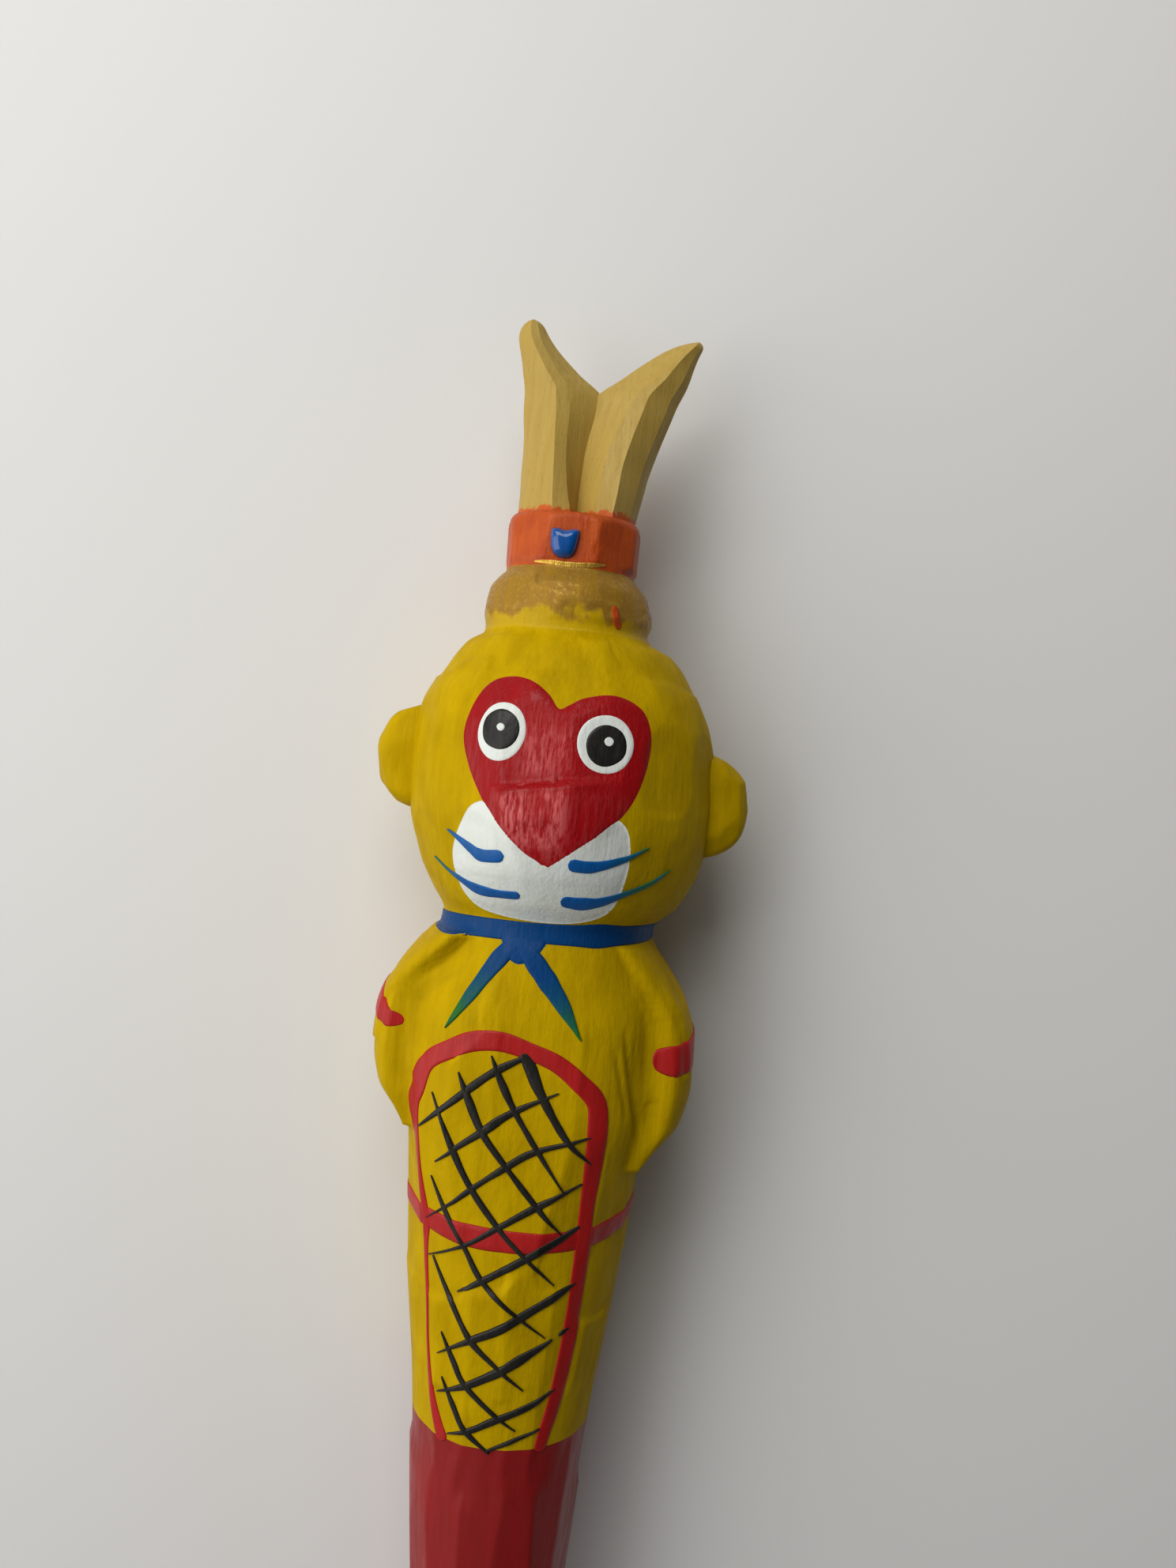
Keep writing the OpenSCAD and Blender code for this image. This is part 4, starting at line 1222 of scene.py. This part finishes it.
class MONKEYPEN_OT_jacket(bpy.types.Operator):
    """Paints the panel's outline, the belt, the arm marks and the hatching"""
    bl_idname = "monkey_pen.jacket"
    bl_label = "Jacket paint"

    def execute(self, context):
        """Red strokes first, then the black net of lines over them."""
        colours = context.scene.monkey_pen_colours
        surface = carved_surface(context)
        red = common_paint("line_red_paint", colours)
        black = common_paint("black_paint", colours)
        belt = Shape()
        add_ring(belt, surface, lambda a: 22.05 + 1.6 * (1 - np.abs(np.sin(a))) ** 1.2,
                 lambda a: 1.35 + 0.3 * np.clip(np.sin(a), 0, 1), 0.07, 21, wobble=0.05)
        on_wood(belt, "belt", [red])
        panel = Shape()
        add_stroke(panel, surface, PANEL, 0.09, 22, wobble=0.015, columns=16, density=4.5)
        on_wood(panel, "panel_outline", [red])
        marks = Shape()
        add_stroke(marks, surface, LEFT_ARM_MARK, 0.1, 5, by_angle=True)
        add_stroke(marks, surface, RIGHT_ARM_MARK, 0.11, 6, by_angle=True)
        on_wood(marks, "arm_marks", [red])
        hatching = Shape()
        for k, path in enumerate(RISING + FALLING):
            wide = [(x, y, w * HATCHING_WIDTH) for x, y, w in path]
            lift = 0.13 if k < len(RISING) else 0.135
            add_stroke(hatching, surface, wide, lift, HATCHING_SEED + k, wobble=0.07, columns=10)
        add_stroke(hatching, surface, STRAY_DASH, 0.13, 71)
        on_wood(hatching, "hatching", [black])
        return {"FINISHED"}


JEWEL_SHIELD = [
    (-0.98, 0.86), (-1.0, 0.2), (-0.86, -0.5), (-0.5, -0.9), (0.05, -1.0), (0.6, -0.84), (0.9, -0.2),
    (1.0, 0.84), (0.55, 0.98), (0.0, 0.86), (-0.6, 0.98),
]
# Path of the thin gold stroke whose bright colour paints the highlight under the headband
HIGHLIGHT_STREAK = [(-3.0, 70.35, 0.15), (-1.8, 70.3, 0.35), (-0.2, 70.25, 0.4), (1.2, 70.35, 0.35),
          (2.2, 70.5, 0.15)]
DAB = [(3.1, 67.5, 0.45), (3.3, 66.7, 0.6), (3.6, 65.9, 0.45)]


class MONKEYPEN_OT_headband(bpy.types.Operator):
    """Adds the jewel, the gold stroke under it that carries a painted highlight, and the stray orange dab
    """
    bl_idname = "monkey_pen.headband"
    bl_label = "Headband"

    def execute(self, context):
        """The jewel is a dome over a shield outline: half round across, flat below."""
        colours = context.scene.monkey_pen_colours
        surface = carved_surface(context)
        low, high = JEWEL_LOW, JEWEL_HIGH
        middle, half = (low + high) / 2, (high - low) / 2
        shield = through(JEWEL_SHIELD, 72, closed=True)
        s = np.linspace(0.03, 1, 18)
        height = (1 - s ** 3.2) ** 0.6
        s, height = np.append(s, [0.6, 0.2]), np.append(height, [0.0, 0.0])
        ring = np.stack([middle[0] + s[:, None] * half[0] * shield[None, :, 0],
                         middle[1] + s[:, None] * half[1] * shield[None, :, 1],
                         low[2] + 0 * s[:, None] * shield[None, :, 0]
                         + (high[2] - low[2]) * height[:, None]], axis=-1)
        jewel = Shape()
        jewel.tube(ring)
        settle(jewel.build("jewel_drop", [enamel_material(colours.jewel)]),
               "carving", "headband_jewel")
        # Gold paint along the band's lower edge, made bright yellow as a painted highlight there
        streak = Shape()
        add_stroke(streak, surface, HIGHLIGHT_STREAK, 0.05, 8)
        gold = paint_material("painted_highlight_paint", HIGHLIGHT_GOLD, HIGHLIGHT_YELLOW, 0.28, 0.8, 2.0)
        gold.node_tree.nodes["Principled BSDF"].inputs["Metallic"].default_value = 0.5
        on_wood(streak, "painted_highlight_streak", [gold])
        dab = Shape()
        add_stroke(dab, surface, DAB, 0.06, 9)
        on_wood(dab, "orange_dab", [common_paint("orange_paint", colours)])
        return {"FINISHED"}


class MONKEYPEN_OT_refill(bpy.types.Operator):
    """Builds the refill's tube and metal tip, and finishes the ink and the ball"""
    bl_idname = "monkey_pen.refill"
    bl_label = "Refill"

    def execute(self, context):
        """Profiles turned round the axis: a tube with eased rims, and a tip with a stepped
        cone, two turned grooves, a collar and a stem that goes into the tube."""
        colours = context.scene.monkey_pen_colours
        wall, rim = 0.5, 0.05
        outer = (TUBE_HIGH[0] - TUBE_LOW[0]) / 2
        bore = outer - wall
        start, end = TUBE_LOW[1], TUBE_HIGH[1]
        half_way = (start + end) / 2
        tube = Shape()
        tube.tube(lathe([
            (bore, start + rim), (bore + rim, start), (outer - rim, start), (outer, start + rim),
            (outer, half_way), (outer, end - rim), (outer - rim, end), (bore + rim, end),
            (bore, end - rim), (bore, half_way)]), closed=True)
        settle(tube.build("milky_tube", [tube_material(colours.tube)], sharp=math.radians(50)),
               "refill", "ink_tube")
        front, back = TIP_LOW[1], TIP_HIGH[1]
        seat = TUBE_LOW[1]
        tip = Shape()
        tip.tube(lathe([
            (0.3, back), (0.93, back), (0.99, back - 0.06), (0.99, seat), (1.45, seat),
            (1.5, seat - 0.05), (1.5, seat - 0.5), (1.44, seat - 0.56), (1.44, seat - 0.64),
            (1.5, seat - 0.7), (1.5, seat - 1.15), (1.45, seat - 1.2), (1.2, seat - 1.2),
            (1.19, seat - 1.35), (1.1, seat - 3.0), (1.05, seat - 3.05), (1.05, seat - 3.2),
            (1.09, seat - 3.25), (0.93, front + 1.6), (0.9, front + 1.5), (0.75, front + 1.3),
            (0.7, front + 0.9), (0.58, front + 0.03), (0.55, front), (0.5, front), (0.52, front + 0.2),
            (0.49, front + 0.42), (0.3, front + 0.62), (0.3, (front + back) / 2)]), closed=True)
        brass = metal_material("turned_brass", colours.brass, 0.26)
        settle(tip.build("turned_tip", [brass], sharp=math.radians(30)),
               "refill", "refill_tip")
        for node, material in (("ink_column", ink_material(colours.ink)),
                               ("writing_ball", metal_material("ball_steel", colours.steel, 0.14))):
            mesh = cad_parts[node].data
            mesh.materials.clear()
            mesh.materials.append(material)
        return {"FINISHED"}


TABLE_LINES, TABLE_HALF = 61, 2500      # lines each way in the table's grid, and half its side
EYE_OVER = (2.37, 54.53)                # place on the pen that the camera looks straight down at
LAMP_TARGET = (0.002, 0.055, 0.01)      # place that both lamps are turned to, in metres


class MONKEYPEN_OT_stage(bpy.types.Operator):
    """Sets the table, the lights and the camera"""
    bl_idname = "monkey_pen.stage"
    bl_label = "Stage"

    def execute(self, context):
        """The table is a flat grid at height zero, finer near the pen."""
        scene = context.scene
        settings = scene.monkey_pen_stage
        side = np.linspace(-1, 1, TABLE_LINES)
        place = np.sign(side) * np.abs(side) ** 2.2 * TABLE_HALF
        x, y = np.meshgrid(place, place, indexing="ij")
        table = bpy.data.meshes.new("table")
        points = np.stack([x, y, 0 * x], axis=-1).reshape(-1, 3) * MM
        table.from_pydata(points.tolist(), [],
                           grid_faces(TABLE_LINES, TABLE_LINES, closed=False)[:, ::-1].tolist())
        table.materials.append(paper_material(scene.monkey_pen_colours.paper))
        table.update()
        if table.polygons[0].normal.z < 0:
            table.flip_normals()
        floor = bpy.data.objects.new("table", table)
        scene.collection.objects.link(floor)

        eye = bpy.data.cameras.new("camera")
        eye.sensor_width = 36
        eye.lens = 36 * settings.eye_height / settings.eye_reach
        eye.clip_start = 0.005
        camera = bpy.data.objects.new("camera", eye)
        camera.location = (EYE_OVER[0] * MM, EYE_OVER[1] * MM, AXIS * MM + settings.eye_height)
        camera.rotation_euler = (0, 0, settings.eye_turn)
        scene.collection.objects.link(camera)
        scene.camera = camera

        for name, place, size, power in (
                ("top_window", settings.top_place, (0.26, 0.16), settings.top_power),
                ("side_window", settings.side_place, (0.16, 0.26), settings.side_power)):
            lamp = bpy.data.lights.new(name, "AREA")
            lamp.shape = "RECTANGLE"
            lamp.size, lamp.size_y = size
            lamp.energy = power
            lamp.color = LAMP_WHITE
            window = bpy.data.objects.new(name, lamp)
            window.location = place
            away = Vector(place) - Vector(LAMP_TARGET)
            window.rotation_euler = away.to_track_quat("Z", "Y").to_euler()
            scene.collection.objects.link(window)

        world = bpy.data.worlds.new("room")
        world.use_nodes = True
        sky = world.node_tree.nodes["Background"]
        sky.inputs["Color"].default_value = SKY_WHITE
        nodes = Nodes(world.node_tree)
        away = nodes.add("ShaderNodeTexCoord").outputs["Generated"]
        away = nodes.add("ShaderNodeSeparateXYZ", {"Vector": away})
        fill = nodes.span(away.outputs["X"], 0.8, -0.8, settings.fill, settings.window_fill)
        seen = nodes.add("ShaderNodeLightPath").outputs["Is Camera Ray"]
        nodes.feed(sky.inputs["Strength"], nodes.span(seen, 0.0, 1.0, fill, settings.backdrop))
        scene.world = world
        scene.view_settings.view_transform = "Standard"
        return {"FINISHED"}


OPERATORS = [
    MONKEYPEN_OT_stage, MONKEYPEN_OT_body, MONKEYPEN_OT_ears, MONKEYPEN_OT_crown, MONKEYPEN_OT_face,
    MONKEYPEN_OT_scarf, MONKEYPEN_OT_jacket, MONKEYPEN_OT_headband, MONKEYPEN_OT_refill,
]


class MONKEYPEN_PT_panel(bpy.types.Panel):
    """Lists the pen's pieces in the sidebar"""
    bl_idname = "MONKEYPEN_PT_panel"
    bl_label = "Monkey pen"
    bl_space_type = "VIEW_3D"
    bl_region_type = "UI"
    bl_category = "Monkey pen"

    def draw(self, context):
        """One button for each piece."""
        for operator in OPERATORS:
            self.layout.operator(operator.bl_idname)


CLASSES = [MonkeyPenCarving, MonkeyPenColours, MonkeyPenStage, *OPERATORS, MONKEYPEN_PT_panel]


def register():
    """Registers the classes and hangs the settings on the scene."""
    for item in CLASSES:
        bpy.utils.register_class(item)
    bpy.types.Scene.monkey_pen_carving = bpy.props.PointerProperty(type=MonkeyPenCarving)
    bpy.types.Scene.monkey_pen_colours = bpy.props.PointerProperty(type=MonkeyPenColours)
    bpy.types.Scene.monkey_pen_stage = bpy.props.PointerProperty(type=MonkeyPenStage)


def unregister():
    """Takes the settings and the classes away again."""
    del bpy.types.Scene.monkey_pen_stage
    del bpy.types.Scene.monkey_pen_colours
    del bpy.types.Scene.monkey_pen_carving
    for item in reversed(CLASSES):
        bpy.utils.unregister_class(item)


def main():
    """Builds everything in order."""
    register()
    bpy.ops.monkey_pen.stage()
    bpy.ops.monkey_pen.body()
    bpy.ops.monkey_pen.ears()
    bpy.ops.monkey_pen.crown()
    bpy.ops.monkey_pen.face()
    bpy.ops.monkey_pen.scarf()
    bpy.ops.monkey_pen.jacket()
    bpy.ops.monkey_pen.headband()
    bpy.ops.monkey_pen.refill()


if __name__ == "__main__":
    main()
